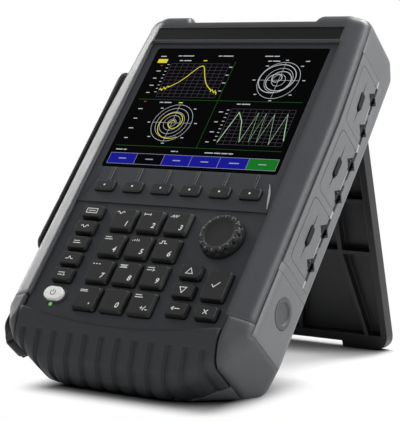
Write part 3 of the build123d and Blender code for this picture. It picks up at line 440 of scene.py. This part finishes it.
def ring(middle, radius, count=40):
    """A closed round stroke."""
    turns = [math.tau * k / count for k in range(count)]
    points = [(middle[0] + radius * math.cos(turn), middle[1] + radius * math.sin(turn)) for turn in turns]
    return points + [(middle[0] + radius, middle[1])]


def filled(left, top, right, bottom):
    """A filled oblong of the picture, from shares of the screen."""
    corners = ((left, bottom), (right, bottom), (right, top), (left, top))
    return [on_screen(*corner) for corner in corners], one_face


def bar(x, y, length, height, slant=0.2):
    """A short slanted bar in the place of a word."""
    low, high = y - height / 2, y + height / 2
    return [(x, low), (x + length, low), (x + length + slant, high), (x + slant, high)], one_face


def words(across, down, lengths, height=0.9):
    """A line of readings, drawn as bars as long as short words."""
    bars = []
    for length in lengths:
        bars.append(bar(*on_screen(across, down), length, height))
        across += (length + 0.8) / screen_wide
    return bars


band_plot = (0.11, 0.11, 0.47, 0.41)
phase_plot = (0.605, 0.50, 0.975, 0.80)
grid_width, divider_width, trace_width = 0.26, 0.3, 0.6
grid_lines, green_lines, white_lines, yellow_lines, pale_lines, red_marks = [], [], [], [], [], []
for left, top, right, bottom in (band_plot, phase_plot):
    for step in range(11):
        share = left + (right - left) * step / 10
        grid_lines.append(ribbon([on_screen(share, top), on_screen(share, bottom)], grid_width))
        share = top + (bottom - top) * step / 10
        grid_lines.append(ribbon([on_screen(left, share), on_screen(right, share)], grid_width))
for first, last in (((0.01, 0.435), (0.99, 0.435)), ((0.01, 0.84), (0.99, 0.84)),
                    ((0.50, 0.09), (0.50, 0.84))):
    green_lines.append(ribbon([on_screen(*first), on_screen(*last)], divider_width))

# A band-pass curve with a noisy foot on each side
summit, left_spread, right_spread = 0.56, 0.19, 0.12
peak = []
for step in range(81):
    share = step / 80
    slope = (share - summit) / (left_spread if share < summit else right_spread)
    height = 1 / (1 + slope * slope) ** 0.55
    foot = 0.06 * math.sin(step * 2.1) * math.cos(step * 0.7) if share < 0.14 or share > 0.86 else 0
    height = min(1.0, max(0.02, 1.12 * height - 0.14 + foot))
    peak.append(on_screen(0.11 + 0.36 * share, 0.40 - 0.275 * height))
yellow_lines.append(ribbon(peak, trace_width))

# Two polar plots: rings and spokes with a spiral through them
polar_reach = 15.6
right_polar, left_polar = on_screen(0.80, 0.25), on_screen(0.285, 0.635)
for middle, radii, width in ((right_polar, (5.0, 10.4, polar_reach), 0.34),
                             (left_polar, (3.2, 6.3, 9.4, 12.5, polar_reach), 0.3)):
    for radius in radii:
        white_lines.append(ribbon(ring(middle, radius), width))
for middle in (right_polar, left_polar):
    for turn in (0, math.pi / 2):
        across = (math.cos(turn) * polar_reach, math.sin(turn) * polar_reach)
        spoke = [(middle[0] + way * across[0], middle[1] + way * across[1]) for way in (-1, 1)]
        white_lines.append(ribbon(spoke, 0.24))
loops = []
for step in range(121):
    turn = step / 120 * math.tau * 3
    radius = 2.0 + 12.4 * abs(math.sin(turn / 6 + 0.15)) ** 1.6
    x, y = right_polar[0] - 1.0, right_polar[1] + 0.8
    loops.append((x + radius * math.cos(turn), y + 0.9 * radius * math.sin(turn)))
white_lines.append(ribbon(loops, 0.55))
loops = []
for step in range(101):
    turn = step / 100 * math.tau * 1.75 + 0.6
    radius = 1.4 + 12.8 * (step / 100) ** 1.4
    loops.append((left_polar[0] + 1.0 + radius * math.cos(turn), left_polar[1] + radius * math.sin(turn)))
yellow_lines.append(ribbon(loops, 0.5))

# A phase trace that runs down and jumps back up
zigzag = []
for across, down in ((0.0, 0.95), (0.14, 0.10), (0.24, 0.35), (0.335, 0.92), (0.445, 0.10), (0.475, 0.90),
                     (0.565, 0.12), (0.60, 0.92), (0.70, 0.14), (0.795, 0.95), (0.90, 0.12), (0.965, 0.62),
                     (1.0, 0.85)):
    zigzag.append(on_screen(phase_plot[0] + 0.37 * across, phase_plot[1] + 0.30 * down))
pale_lines.append(ribbon(zigzag, trace_width))

# Readings: bars in the place of words
for across, down, lengths in ((0.02, 0.045, (4.5,)), (0.13, 0.04, (3.0, 9.0)), (0.38, 0.04, (3.0, 8.0)),
                              (0.66, 0.04, (6.5, 4.0)), (0.15, 0.083, (3.0, 6.0)),
                              (0.69, 0.083, (3.0, 5.5)), (0.91, 0.083, (3.0,)), (0.15, 0.46, (3.0, 6.0)),
                              (0.62, 0.46, (3.0, 6.5)), (0.02, 0.875, (5.5, 2.5)),
                              (0.36, 0.875, (3.5, 1.2)), (0.56, 0.875, (6.5, 5.0, 4.5, 3.5))):
    white_lines += words(across, down, lengths, 0.75)
blocks = ((0.035, 0.18, 0.065, 3.4, 0.5), (0.035, 0.52, 0.085, 3.6, 0.6), (0.535, 0.53, 0.085, 3.2, 0.5),
          (0.475, 0.14, 0.07, 2.6, 0.4))
for row in range(4):
    for across, top, pitch, longest, less in blocks:
        white_lines += words(across, top + pitch * row, (longest - less * (row % 2),), 0.7)
for step in range(9):
    white_lines += words(0.085, 0.12 + 0.031 * step, (1.7,), 0.5)
    white_lines += words(0.578, 0.512 + 0.032 * step, (1.9,), 0.5)
for middle in (right_polar, left_polar):
    for turn in range(8):
        x = middle[0] + 19.0 * math.cos(math.tau * turn / 8) - 1.0
        y = middle[1] + 17.4 * math.sin(math.tau * turn / 8)
        white_lines.append(bar(x, y, 2.2, 0.7, 0.1))
for across, down in ((0.30, 0.083), (0.27, 0.46)):
    yellow_lines += words(across, down, (3.0,), 0.75)
for across, down in ((0.045, 0.13), (0.05, 0.455)):
    red_marks += words(across, down, (1.8,), 0.7)
yellow_lines.append(filled(0.015, 0.07, 0.075, 0.105))

# Softkey labels: six boxes with pale edges, the second left dark and the last green
label_start, label_wide, label_top, label_bottom = 0.004, 0.1655, 0.905, 0.995
blue_boxes, green_boxes, box_edges = [], [], []
for key in range(6):
    left, right = label_start + key * label_wide, label_start + (key + 1) * label_wide
    if key == 5:
        green_boxes.append(filled(left, label_top, right, label_bottom))
    elif key != 1:
        blue_boxes.append(filled(left, label_top, right, label_bottom))
    around = ((left, label_top), (right, label_top), (right, label_bottom), (left, label_bottom),
              (left, label_top))
    box_edges.append(ribbon([on_screen(*corner) for corner in around], 0.25))
    box_edges += words(left + 0.06, 0.95, (6.0 if key != 4 else 7.5,), 0.8)
for name, shapes, tint, strength, lift in (
        ("screen_grid", grid_lines, "5d5566", 0.55, 0.02),
        ("screen_dividers", green_lines, "1f6b25", 0.7, 0.02),
        ("screen_blue_labels", blue_boxes, "0a0c96", 0.9, 0.02),
        ("screen_green_label", green_boxes, "0f7a1c", 0.85, 0.02),
        ("screen_label_edges", box_edges, "a9b0cc", 0.8, 0.05),
        ("screen_white_lines", white_lines, "d5d8dc", 0.8, 0.03),
        ("screen_yellow_lines", yellow_lines, "e6dd2f", 0.95, 0.05),
        ("screen_pale_lines", pale_lines, "b9e6b2", 0.85, 0.05),
        ("screen_red_marks", red_marks, "b4552e", 0.8, 0.03)):
    light = lit(name + "_light", tint, strength)
    flat_piece(name, shapes, screen_level + lift, "case", light)

# Keys: caps of black silicone over a mat of rubber domes, moulded with sloped sides and a satin top. Their
# marks are screen printed in white: plain numbers, arrows and small line signs.
first_column, column_pitch, first_row, row_pitch = -28.5, 21.2, 112.5, 20.2
function_column, function_row, function_pitch = -55.3, 117.0, 12.5
key_ink_level, softkey_ink_level = 71.53, 70.63
sign_width, sign_offset = 0.55, (-3.2, 4.6)
numeral_size, numeral_slant, numeral_weight, numeral_offset = 5.4, 0.16, 0.02, (4.4, -3.9)
point_size, point_offset = 1.0, (4.0, -4.7)
dot_radius, dot_sides = 0.75, 14
key_rubber = moulded("black_silicone_keys", "0f1012", "1e1f22", 0.5, 0.8, 0.03, 0.5)
dress(key_rubber, *(name for name in nodes if name.startswith(("key_", "function_key_", "softkey_"))))
dress(key_rubber, "up_key", "down_key", "back_key", "escape_key", "enter_key")


def printed(name, tint):
    """Screen-printed ink: thin, matt and a little uneven where the mesh of the screen left it. The knob's
    painted highlights take the same finish.
    """
    material, tree, output = bare_material(name)
    where = place_on_piece(tree)
    mesh = noise(tree, where, 0.6, 2.0)
    tone = blend(tree, mesh, linear(tint, 0.88), linear(tint))
    relief = add_node(tree, "ShaderNodeBump", {"Strength": 0.3, "Distance": 0.00002, "Height": mesh})
    set_surface(tree, output, {"Roughness": 0.6, "Base Color": tone, "Normal": relief.outputs["Normal"]})
    return material


white_ink = printed("white_screen_print_ink", "f4f4f0")


def numeral(text, size):
    """Points and faces of a slanted numeral about its own middle."""
    letters = bpy.data.curves.new("numeral", "FONT")
    letters.body = text
    letters.size = size
    letters.shear = numeral_slant
    letters.offset = numeral_weight * size
    letters.align_x = "CENTER"
    letters.align_y = "CENTER"
    letters.resolution_u = 3
    carrier = bpy.data.objects.new("numeral", letters)
    bpy.context.scene.collection.objects.link(carrier)
    bpy.context.view_layer.update()
    mesh = bpy.data.meshes.new_from_object(carrier.evaluated_get(bpy.context.evaluated_depsgraph_get()))
    shape = [(v.co.x, v.co.y) for v in mesh.vertices], [list(p.vertices) for p in mesh.polygons]
    bpy.data.objects.remove(carrier)
    bpy.data.meshes.remove(mesh)
    return shape


def moved(shape, across, up):
    """The same flat shape in another place."""
    return [(x + across, y + up) for x, y in shape[0]], shape[1]


def drawn(strokes, across, up):
    """The flat lines of a sign in its place."""
    return [moved(ribbon(stroke, sign_width), across, up) for stroke in strokes]


wave = [[(-3 + 0.5 * k, 0.9 * math.sin(k * 0.785)) for k in range(13)]]
span = [[(-2.4, 1), (-2.4, -1)], [(2.4, 1), (2.4, -1)], [(-2.4, 0), (2.4, 0)]]
ramp = [[(-3, -0.9), (-1, 0.9), (-0.9, -0.9), (1, 0.9), (1.1, -0.9), (3, 0.9)]]
two_lines = [[(-3, 0.8), (1.8, 0.8)], [(-3, -0.8), (3, -0.8)]]
steps = [[(-3, -0.9), (-1, -0.9), (-1, 0.9), (1, 0.9), (1, -0.9), (3, -0.9)]]
columns = [[(x, -0.9), (x, top)] for x, top in ((-2.4, -0.1), (-0.8, 0.4), (0.8, 1), (2.4, 0.5))]
limits = [[(-3, 0.9), (3, 0.9)], [(-2.2, 0), (2.2, 0)], [(-3, -0.9), (3, -0.9)]]
peak_sign = [[(-3, -0.9), (-1, -0.7), (0, 1), (1, -0.7), (3, -0.9)]]
dashes = [[(-3, 0), (-1.5, 0)], [(-0.7, 0), (0.7, 0)], [(1.5, 0), (3, 0)]]
underlined = [[(-3, 0.3), (2.6, 0.3)], [(-3, -0.8), (3, -0.8)]]
framed = [[(-4.2, 1.7), (4.2, 1.7), (4.2, -1.7), (-4.2, -1.7), (-4.2, 1.7)], [(-2.8, 0), (2.8, 0)]]
arrow_lines = [[(-3, 0.9), (2.2, 0.9)], [(-3, -0.9), (0.6, -0.9)], [(1.2, -0.2), (2.6, -0.9), (1.2, -1.6)]]
plus_minus = [[(0.9, -3.6), (3.1, -3.6)], [(2.0, -2.5), (2.0, -4.7)], [(3.2, -5.4), (4.8, -2.2)],
              [(4.9, -4.8), (6.7, -4.8)]]
signs = {"1": wave, "2": span, "3": ramp, "4": two_lines, "5": columns, "6": steps, "7": dashes,
         "8": limits, "9": arrow_lines, "point": underlined, "0": [], "sign": two_lines}
for index, (name, strokes) in enumerate(signs.items()):
    across = first_column + column_pitch * (index % 3)
    up = first_row - row_pitch * (index // 3)
    shapes = drawn(strokes, across + sign_offset[0], up + sign_offset[1])
    if name == "point":
        shapes.append(bar(across + point_offset[0], up + point_offset[1], point_size, point_size, 0.1))
    elif name == "sign":
        shapes += drawn(plus_minus, across, up)
    else:
        figure = numeral(name, numeral_size)
        shapes.append(moved(figure, across + numeral_offset[0], up + numeral_offset[1]))
    flat_piece(f"mark_on_key_{name}", shapes, key_ink_level, f"key_{name}", white_ink)
for row, strokes in enumerate((framed, wave, two_lines, peak_sign, arrow_lines)):
    key = f"function_key_{row + 1}"
    shapes = drawn(strokes, function_column, function_row - function_pitch * row)
    flat_piece(f"mark_on_{key}", shapes, key_ink_level, key, white_ink)
triangle = [(-2.5, -1.9), (2.5, -1.9), (0, 2.1), (-2.5, -1.9)]
hollow = [(-2.5, 1.9), (2.5, 1.9), (0, -2.1), (-2.5, 1.9)]
for name, place, strokes in (
        ("up_key", (38.9, 77.9), [triangle]), ("down_key", (39.4, 64.0), [hollow]),
        ("back_key", (40.2, 50.5), [[(3, 0), (-3, 0)], [(-1.5, 1.3), (-3, 0), (-1.5, -1.3)]]),
        ("escape_key", (61.7, 50.4), [[(-1.5, -1.5), (1.5, 1.5)], [(-1.5, 1.5), (1.5, -1.5)]]),
        ("enter_key", (60.8, 69.7), [[(-2.6, 0.2), (-0.8, -1.7), (2.8, 2.2)]])):
    flat_piece(f"mark_on_{name}", drawn(strokes, *place), key_ink_level, name, white_ink)
for number in range(6):
    key = f"softkey_{number + 1}"
    dot = ring(((number - 2.5) * softkey_pitch, softkey_row), dot_radius, dot_sides)[:-1]
    shapes = [(dot, [tuple(range(dot_sides))])]
    flat_piece(f"dot_on_{key}", shapes, softkey_ink_level, key, white_ink)

# Power button and lamp: a white oval cap of gloss ABS with a printed sign, and a small green lens under it.
# The cap is moulded and snaps into the face panel; the lens is a clear moulding over a green light.
power_x, power_y = -55.3, 52.7
power_ink_level, arc_radius = 71.23, 1.9
button_abs = moulded("white_gloss_abs", "f6f6f4", "fafaf8", 0.3, 2.0, 0.01)
dress(button_abs, "power_button")
grey_ink = printed("dark_screen_print_ink", "3a3b3e")
turns = [0.7 + 0.2442 * step for step in range(21)]
arc = [(power_x + arc_radius * math.sin(turn), power_y + arc_radius * math.cos(turn)) for turn in turns]
shapes = [ribbon(arc, 0.5), ribbon([(power_x, power_y + 0.1), (power_x, power_y + 2.3)], 0.5)]
flat_piece("mark_on_power_button", shapes, power_ink_level, "power_button", grey_ink)
lamp_lens, tree, output = bare_material("green_lamp_lens")
where = place_on_piece(tree)
tone = blend(tree, noise(tree, where, 1.5, 2.0), linear("3f9a3a"), linear("7fd06a"))
set_surface(tree, output, {"Base Color": tone, "Roughness": 0.25,
                           "Emission Color": tone, "Emission Strength": 0.5})
dress(lamp_lens, "power_lamp_lens")

# Tuning knob: moulded in black ABS, satin, with a dished top, and pushed onto the encoder's shaft. Short
# pale ticks round its rim are painted highlights: the glints of the notches in its rim.
tick_count, tick_radii, tick_level = 14, (11.6, 13.3), 74.83
knob_abs = moulded("satin_black_abs", "101113", "1c1d20", 0.45, 0.8, 0.03, 2.0)
dress(knob_abs, "tuning_knob")
ticks = []
for tick in range(tick_count):
    turn = math.tau * (tick + 0.5) / tick_count
    ends = [(knob_place[0] + r * math.cos(turn), knob_place[1] + r * math.sin(turn)) for r in tick_radii]
    ticks.append(ribbon(ends, 0.38))
# Painted highlight: the pale ticks stand for the glints in the knob's notches.
notch_glint_paint = printed("pale_paint_for_notch_glints", "a4a6a8")
flat_piece("ticks_on_knob", ticks, tick_level, "tuning_knob", notch_glint_paint)

# Front frame: the surround with its two pillars, moulded in polycarbonate with a rubbery coat and screwed
# to the rear shell. A dark strip of ABS is let into its upper bar.
# Painted highlight: the paler edge tint, spread over 5 mm rounds, lightens the pillars' rounded edges.
frame_rubber = moulded("rubberised_grey_polycarbonate", "404145", "5a5b5f", 0.38, 1.2, 0.05, 5.0)
dress(frame_rubber, "front_frame")
strip_abs = moulded("satin_dark_strip", "08090a", "151618", 0.45, 0.9, 0.02, gleam=0.2)
dress(strip_abs, "name_strip")

# Side panel, port doors and battery door: the right flank's own mouldings, in a paler grey polycarbonate.
# Each port door turns on a hinge strip with two pointed wells, half in the door and half in the panel. The
# strip is painted pale as a highlight, and the wells are painted near black as shade in their hollows.
door_centres = (126.5, 179.7, 233.5)
strip_out, strip_tall, strip_deep = 31.6, 40.0, 1.7
well_offset, well_out, well_tall, well_deep = 13, 32.6, 5.6, 6.6
panel_polycarbonate = moulded("grained_pale_grey_polycarbonate", "5b5c5e", "707173", 0.46, 1.1, 0.05)
dress(panel_polycarbonate, "battery_door")
hinge_panel_painted_light_and_shade = moulded("polycarbonate_with_painted_hinge_light_and_shade", "636466", "77787a", 0.46, 1.1, 0.05, gleam=0.2)
tree = hinge_panel_painted_light_and_shade.node_tree
surface = tree.nodes["Principled BSDF"]
where = place_on_piece(tree)
measures = []
for direction in (up_face, out_of_face):
    reach = directed(tree, "DOT_PRODUCT", where, direction)
    measures.append(calculate(tree, "SUBTRACT", reach, direction.dot(lean.translation)))


def within(places):
    """A mask that is one inside the pointed areas about those places (up, out, half height, half depth)."""
    mask = None
    for up, out, tall, deep in places:
        parts = []
        for measure, middle, half in ((measures[0], up, tall), (measures[1], out, deep)):
            offset = calculate(tree, "ABSOLUTE", calculate(tree, "SUBTRACT", measure, middle / 1000))
            parts.append(calculate(tree, "MULTIPLY", offset, 1000 / half))
        inside = calculate(tree, "LESS_THAN", calculate(tree, "ADD", *parts), 1.0)
        mask = inside if mask is None else calculate(tree, "MAXIMUM", mask, inside)
    return mask


# Painted highlight: the hinge strips are coloured pale where light catches the hinge bar.
painted_hinge_highlight = within([(centre, strip_out, strip_tall, strip_deep) for centre in door_centres])
# Painted shade: the pointed wells are coloured near black, as shade in their hollows.
painted_well_shade = within([(centre + side * well_offset, well_out, well_tall, well_deep)
                for centre in door_centres for side in (-1, 1)])
plain = surface.inputs["Base Color"].links[0].from_socket
tone = blend(tree, painted_well_shade, blend(tree, painted_hinge_highlight, plain, linear("9c9d9f")), linear("060607"))
tree.links.new(tone, surface.inputs["Base Color"])
dress(hinge_panel_painted_light_and_shade, "side_panel", "port_door_1", "port_door_2", "port_door_3")


def rounded_oblong(half_long, half_wide, radius, count):
    """Points of an oblong with round corners. The halves reach to the middles of its rounds."""
    points = []
    for a, b, start in ((1, 1, 0), (-1, 1, 90), (-1, -1, 180), (1, -1, 270)):
        for k in range(count):
            turn = math.radians(start + 90 * k / (count - 1))
            out, up = radius * math.cos(turn), radius * math.sin(turn)
            points.append((a * half_long + out, b * half_wide + up))
    return points


# Each port door has a finger pull of black rubber, moulded with a flat top and pressed into the hollow in
# the door's middle. The battery door's release button is a grey moulding of its own.
pull_long, pull_wide, pull_round, pull_out = 4.7, 0.7, 1.5, 46.5
upright, tapered = Vector((0.0, 1.0, 0)), Vector((-0.069, 0.9976, 0))
pull_rubber = moulded("black_pull_rubber", "0d0e0f", "1c1d1f", 0.6, 0.9, 0.03, 0.3, gleam=0.25)
for door, (flank, rise) in enumerate(((94.0, upright), (94.0, upright), (92.03, tapered))):
    rings = []
    for inset, height in ((0.0, -1.6), (0.0, 0.8), (0.4, 1.2)):
        loop = rounded_oblong(pull_long, pull_wide, pull_round - inset, 5)
        rings.append([(a, b, height) for a, b in loop])
    seat = Vector((flank, door_centres[door], pull_out))
    name = f"port_door_{door + 1}"
    raised(f"pull_on_{name}", [rings], seat, rise, z_axis, name, pull_rubber)
button_polycarbonate = moulded("grained_button_polycarbonate", "3e3f41", "505153", 0.5, 1.0, 0.04)
dress(button_polycarbonate, "battery_release_button")

# Tilt stand: one dark moulding of satin polycarbonate with a ribbed inner face. It turns on two pins at the
# back of the case.
stand_polycarbonate = moulded("satin_dark_polycarbonate", "141518", "2e3034", 0.42, 1.2, 0.04, 0.8)
dress(stand_polycarbonate, "tilt_stand")

# Coaxial jacks: turned from stainless steel with a fine thread and passivated. They stand in the well
# behind the top lip, fixed through its floor.
passivated = moulded("passivated_steel", "b9b8b2", "d2d1cb", 0.3, 1.0, 0.02, 0.2, metal=1.0)
dress(passivated, "coaxial_jacks")

# Hand strap: black nylon webbing from bar to bar on the left flank, folded back round each bar, through a
# padded sleeve of knit over foam with a bound edge. The two anchors are moulded in black nylon.
strap_level = 36
webbing_x, pad_x = -106, -107
cloth_map = "cloth"
anchor_nylon = moulded("moulded_black_nylon", "232427", "35373a", 0.5, 1.0, 0.04)
dress(anchor_nylon, "strap_anchors")


def woven(name, tint, light_tint, thread_mm, depth_mm, roughness):
    """Plain weave in the piece's own lengthways and crossways measure, with the sheen of spun nylon."""
    material, tree, output = bare_material(name)
    where = add_node(tree, "ShaderNodeUVMap", uv_map=cloth_map).outputs["UV"]
    bands = {"Scale": 1000 / thread_mm / 20, "Distortion": 0.4, "Detail": 1.0, "Vector": where}
    waves = []
    for direction in ("X", "Y"):
        wave = add_node(tree, "ShaderNodeTexWave", bands, wave_type="BANDS", bands_direction=direction)
        waves.append(wave.outputs["Fac"])
    threads = calculate(tree, "MULTIPLY", *waves)
    worn = calculate(tree, "MULTIPLY", threads, noise(tree, where, 6, 4.0))
    tone = blend(tree, worn, linear(tint), linear(light_tint))
    relief = {"Strength": 0.7, "Distance": depth_mm / 1000, "Height": threads}
    bump = add_node(tree, "ShaderNodeBump", relief)
    set_surface(tree, output, {"Base Color": tone, "Roughness": roughness, "Normal": bump.outputs["Normal"],
                               "Sheen Weight": 0.25, "Sheen Roughness": 0.5})
    return material


def smooth(piece):
    """Shade a piece as one soft surface."""
    for polygon in piece.data.polygons:
        polygon.use_smooth = True


def swept(name, route, section, closed, body, material):
    """Sweep a closed section down a route. Each stop is a place and the section's two directions there."""
    count, rings = len(section), len(route)
    points, faces, runs = [], [], []
    run = 0.0
    for index, (place, side, up) in enumerate(route):
        if index:
            run += (place - route[index - 1][0]).length
        runs.append(run)
        points += [place + side * a + up * b for a, b in section]
    runs.append(run)
    around = [0.0]
    for c in range(count):
        around.append(around[-1] + math.dist(section[c], section[(c + 1) % count]))
    measures = []
    for k in range(rings if closed else rings - 1):
        near, far = k * count, (k + 1) % rings * count
        for c in range(count):
            after = (c + 1) % count
            faces.append((near + c, near + after, far + after, far + c))
            measures.append(((runs[k], around[c]), (runs[k], around[c + 1]),
                             (runs[k + 1], around[c + 1]), (runs[k + 1], around[c])))
    if not closed:
        faces.append(tuple(range(count - 1, -1, -1)))
        faces.append(tuple((rings - 1) * count + c for c in range(count)))
    piece = put(name, points, faces, body, material)
    layer = piece.data.uv_layers.new(name=cloth_map)
    for polygon, corners in zip(piece.data.polygons, measures):
        for loop, (u, v) in zip(polygon.loop_indices, corners):
            layer.data[loop].uv = (u / 1000, v / 1000)
    smooth(piece)
    return piece


# The webbing's way in millimetres: tail, round the lower bar, out to the sleeve, in to the upper bar, tail
corners = ((-95.82, 36.0), (-90.77, 28.43), (-95.93, 24.99), (webbing_x, 40), (webbing_x, 258),
           (-100.72, 275.89), (-94.54, 275.47), (-95.17, 266.39))
bends = (2.8, 2.8, 14, 14, 2.8, 2.8)
line = [Vector(corners[0])]
for index, radius in enumerate(bends):
    before, corner, after = (Vector(corners[index + k]) for k in range(3))
    back, onward = (before - corner).normalized(), (after - corner).normalized()
    half = math.acos(max(-1, min(1, back.dot(onward)))) / 2
    middle = corner + (back + onward).normalized() * radius / math.sin(half)
    first = corner + back * radius / math.tan(half) - middle
    last = corner + onward * radius / math.tan(half) - middle
    sweep = math.atan2(first.x * last.y - first.y * last.x, first.dot(last))
    for step in range(9):
        turn = sweep * step / 8
        line.append(middle + Vector((first.x * math.cos(turn) - first.y * math.sin(turn),
                                     first.x * math.sin(turn) + first.y * math.cos(turn))))
line.append(Vector(corners[-1]))
route = []
for index, place in enumerate(line):
    along = (line[min(index + 1, len(line) - 1)] - line[max(index - 1, 0)]).normalized()
    route.append((Vector((place.x, place.y, strap_level)), Vector((-along.y, along.x, 0)), z_axis))
flat_band = [(0.8, -7.1), (0.8, 7.1), (0.55, 7.8), (0, 8), (-0.55, 7.8), (-0.8, 7.1), (-0.8, -7.1),
             (-0.55, -7.8), (0, -8), (0.55, -7.8)]
# Threads lie 0.6 mm apart on the real webbing and are drawn 1.5 mm apart, so that they show.
webbing_nylon = woven("woven_black_nylon", "0c0d0e", "2c2d30", 1.5, 0.25, 0.7)
webbing = swept("strap_webbing_cloth", route, flat_band, False, "case", webbing_nylon)
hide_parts("strap_webbing")

# The sleeve: a long pad with round ends, blown up a little as foam fills its cover. Its levels are the
# inset and the rise of each ring of the cover. The knit's threads are drawn at 1.6 mm, so that they show.
pad_long, pad_wide, pad_round, pad_middle = 157.0, 27.0, 7.5, 178.5
levels = ((0.0, 0.0), (0.3, 1.8), (1.0, 3.0), (2.4, 3.8), (4.6, 4.1), (6.8, 4.2))
cover_cell = 0.0018
foam_pressure, foam_steps, foam_limit = 4.0, 20, 0.0006
pad_knit = woven("black_spacer_knit", "0b0c0d", "222326", 1.6, 0.3, 0.8)


def pad_edge(inset, count=12):
    """The sleeve's outline in the plane of the strap, drawn in by an inset."""
    radius = max(0.5, pad_round - inset)
    outline = rounded_oblong(pad_long / 2 - pad_round, pad_wide / 2 - pad_round, radius, count)
    return [(pad_middle + y, strap_level + z) for y, z in outline]


rings = []
for side in (-1, 1):
    for inset, rise in levels if side < 0 else levels[1:]:
        rings.append([(pad_x + side * rise, y, z) for y, z in pad_edge(inset)])
points = [point for loop in rings for point in loop]
count = len(rings[0])
faces = []
outer = list(range(len(levels)))
inner = [0] + list(range(len(levels), 2 * len(levels) - 1))
for order, flip in ((outer, False), (inner, True)):
    for a, b in zip(order, order[1:]):
        for c in range(count):
            after = (c + 1) % count
            face = (a * count + c, b * count + c, b * count + after, a * count + after)
            faces.append(face[::-1] if flip else face)
    cap = tuple(order[-1] * count + c for c in range(count))
    faces.append(cap if flip else cap[::-1])
pad = shaped("strap_pad_cover", points, faces)
bpy.context.view_layer.objects.active = pad


def settled(piece):
    """The mesh that a piece's modifiers make of it. The modifiers are then taken off."""
    graph = bpy.context.evaluated_depsgraph_get()
    mesh = bpy.data.meshes.new_from_object(piece.evaluated_get(graph))
    piece.modifiers.clear()
    return mesh


remesh = pad.modifiers.new("cover", "REMESH")
remesh.mode = "VOXEL"
remesh.voxel_size = cover_cell
pad.data = settled(pad)
start = [vertex.co.copy() for vertex in pad.data.vertices]
foam = pad.modifiers.new("foam", "CLOTH")
foam.settings.use_pressure = True
foam.settings.uniform_pressure_force = foam_pressure
foam.settings.effector_weights.gravity = 0.0
foam.settings.quality = 5
foam.point_cache.frame_start = 1
foam.point_cache.frame_end = foam_steps
for step in range(1, foam_steps + 1):
    bpy.context.scene.frame_set(step)
blown = settled(pad)
for vertex, first in zip(blown.vertices, start):
    shift = vertex.co - first
    vertex.co = first + shift * min(1.0, foam_limit / max(shift.length, 1e-9))
pad.data = blown
bpy.context.scene.frame_set(1)
flat = lean.inverted()
layer = pad.data.uv_layers.new(name=cloth_map)
for loop in pad.data.loops:
    place = flat @ pad.data.vertices[loop.vertex_index].co
    layer.data[loop.index].uv = (place.y, place.z)
pad.data.materials.clear()
pad.data.materials.append(pad_knit)
smooth(pad)
soften = pad.modifiers.new("soften", "SUBSURF")
soften.levels = 1
soften.render_levels = 1
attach(pad, "case")
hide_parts("strap_pad")

# The sleeve's bound edge: a folded tape of woven nylon, sewn round it. Its threads are drawn 1.2 mm apart,
# so that they show.
tape_half_wide, tape_half_thick, tape_sides = 1.6, 0.7, 10
edge_line = pad_edge(0.3, 14)
route = []
for index, (y, z) in enumerate(edge_line):
    ahead, behind = edge_line[(index + 1) % len(edge_line)], edge_line[index - 1]
    along = Vector((0, ahead[0] - behind[0], ahead[1] - behind[1])).normalized()
    route.append((Vector((pad_x, y, z)), x_axis, along.cross(x_axis)))
turns = [math.tau * k / tape_sides for k in range(tape_sides)]
tape = [(tape_half_wide * math.cos(turn), tape_half_thick * math.sin(turn)) for turn in turns]
binding_tape = woven("black_binding_tape", "0d0e0f", "28292c", 1.2, 0.2, 0.65)
swept("strap_pad_binding", route, tape, True, "case", binding_tape)
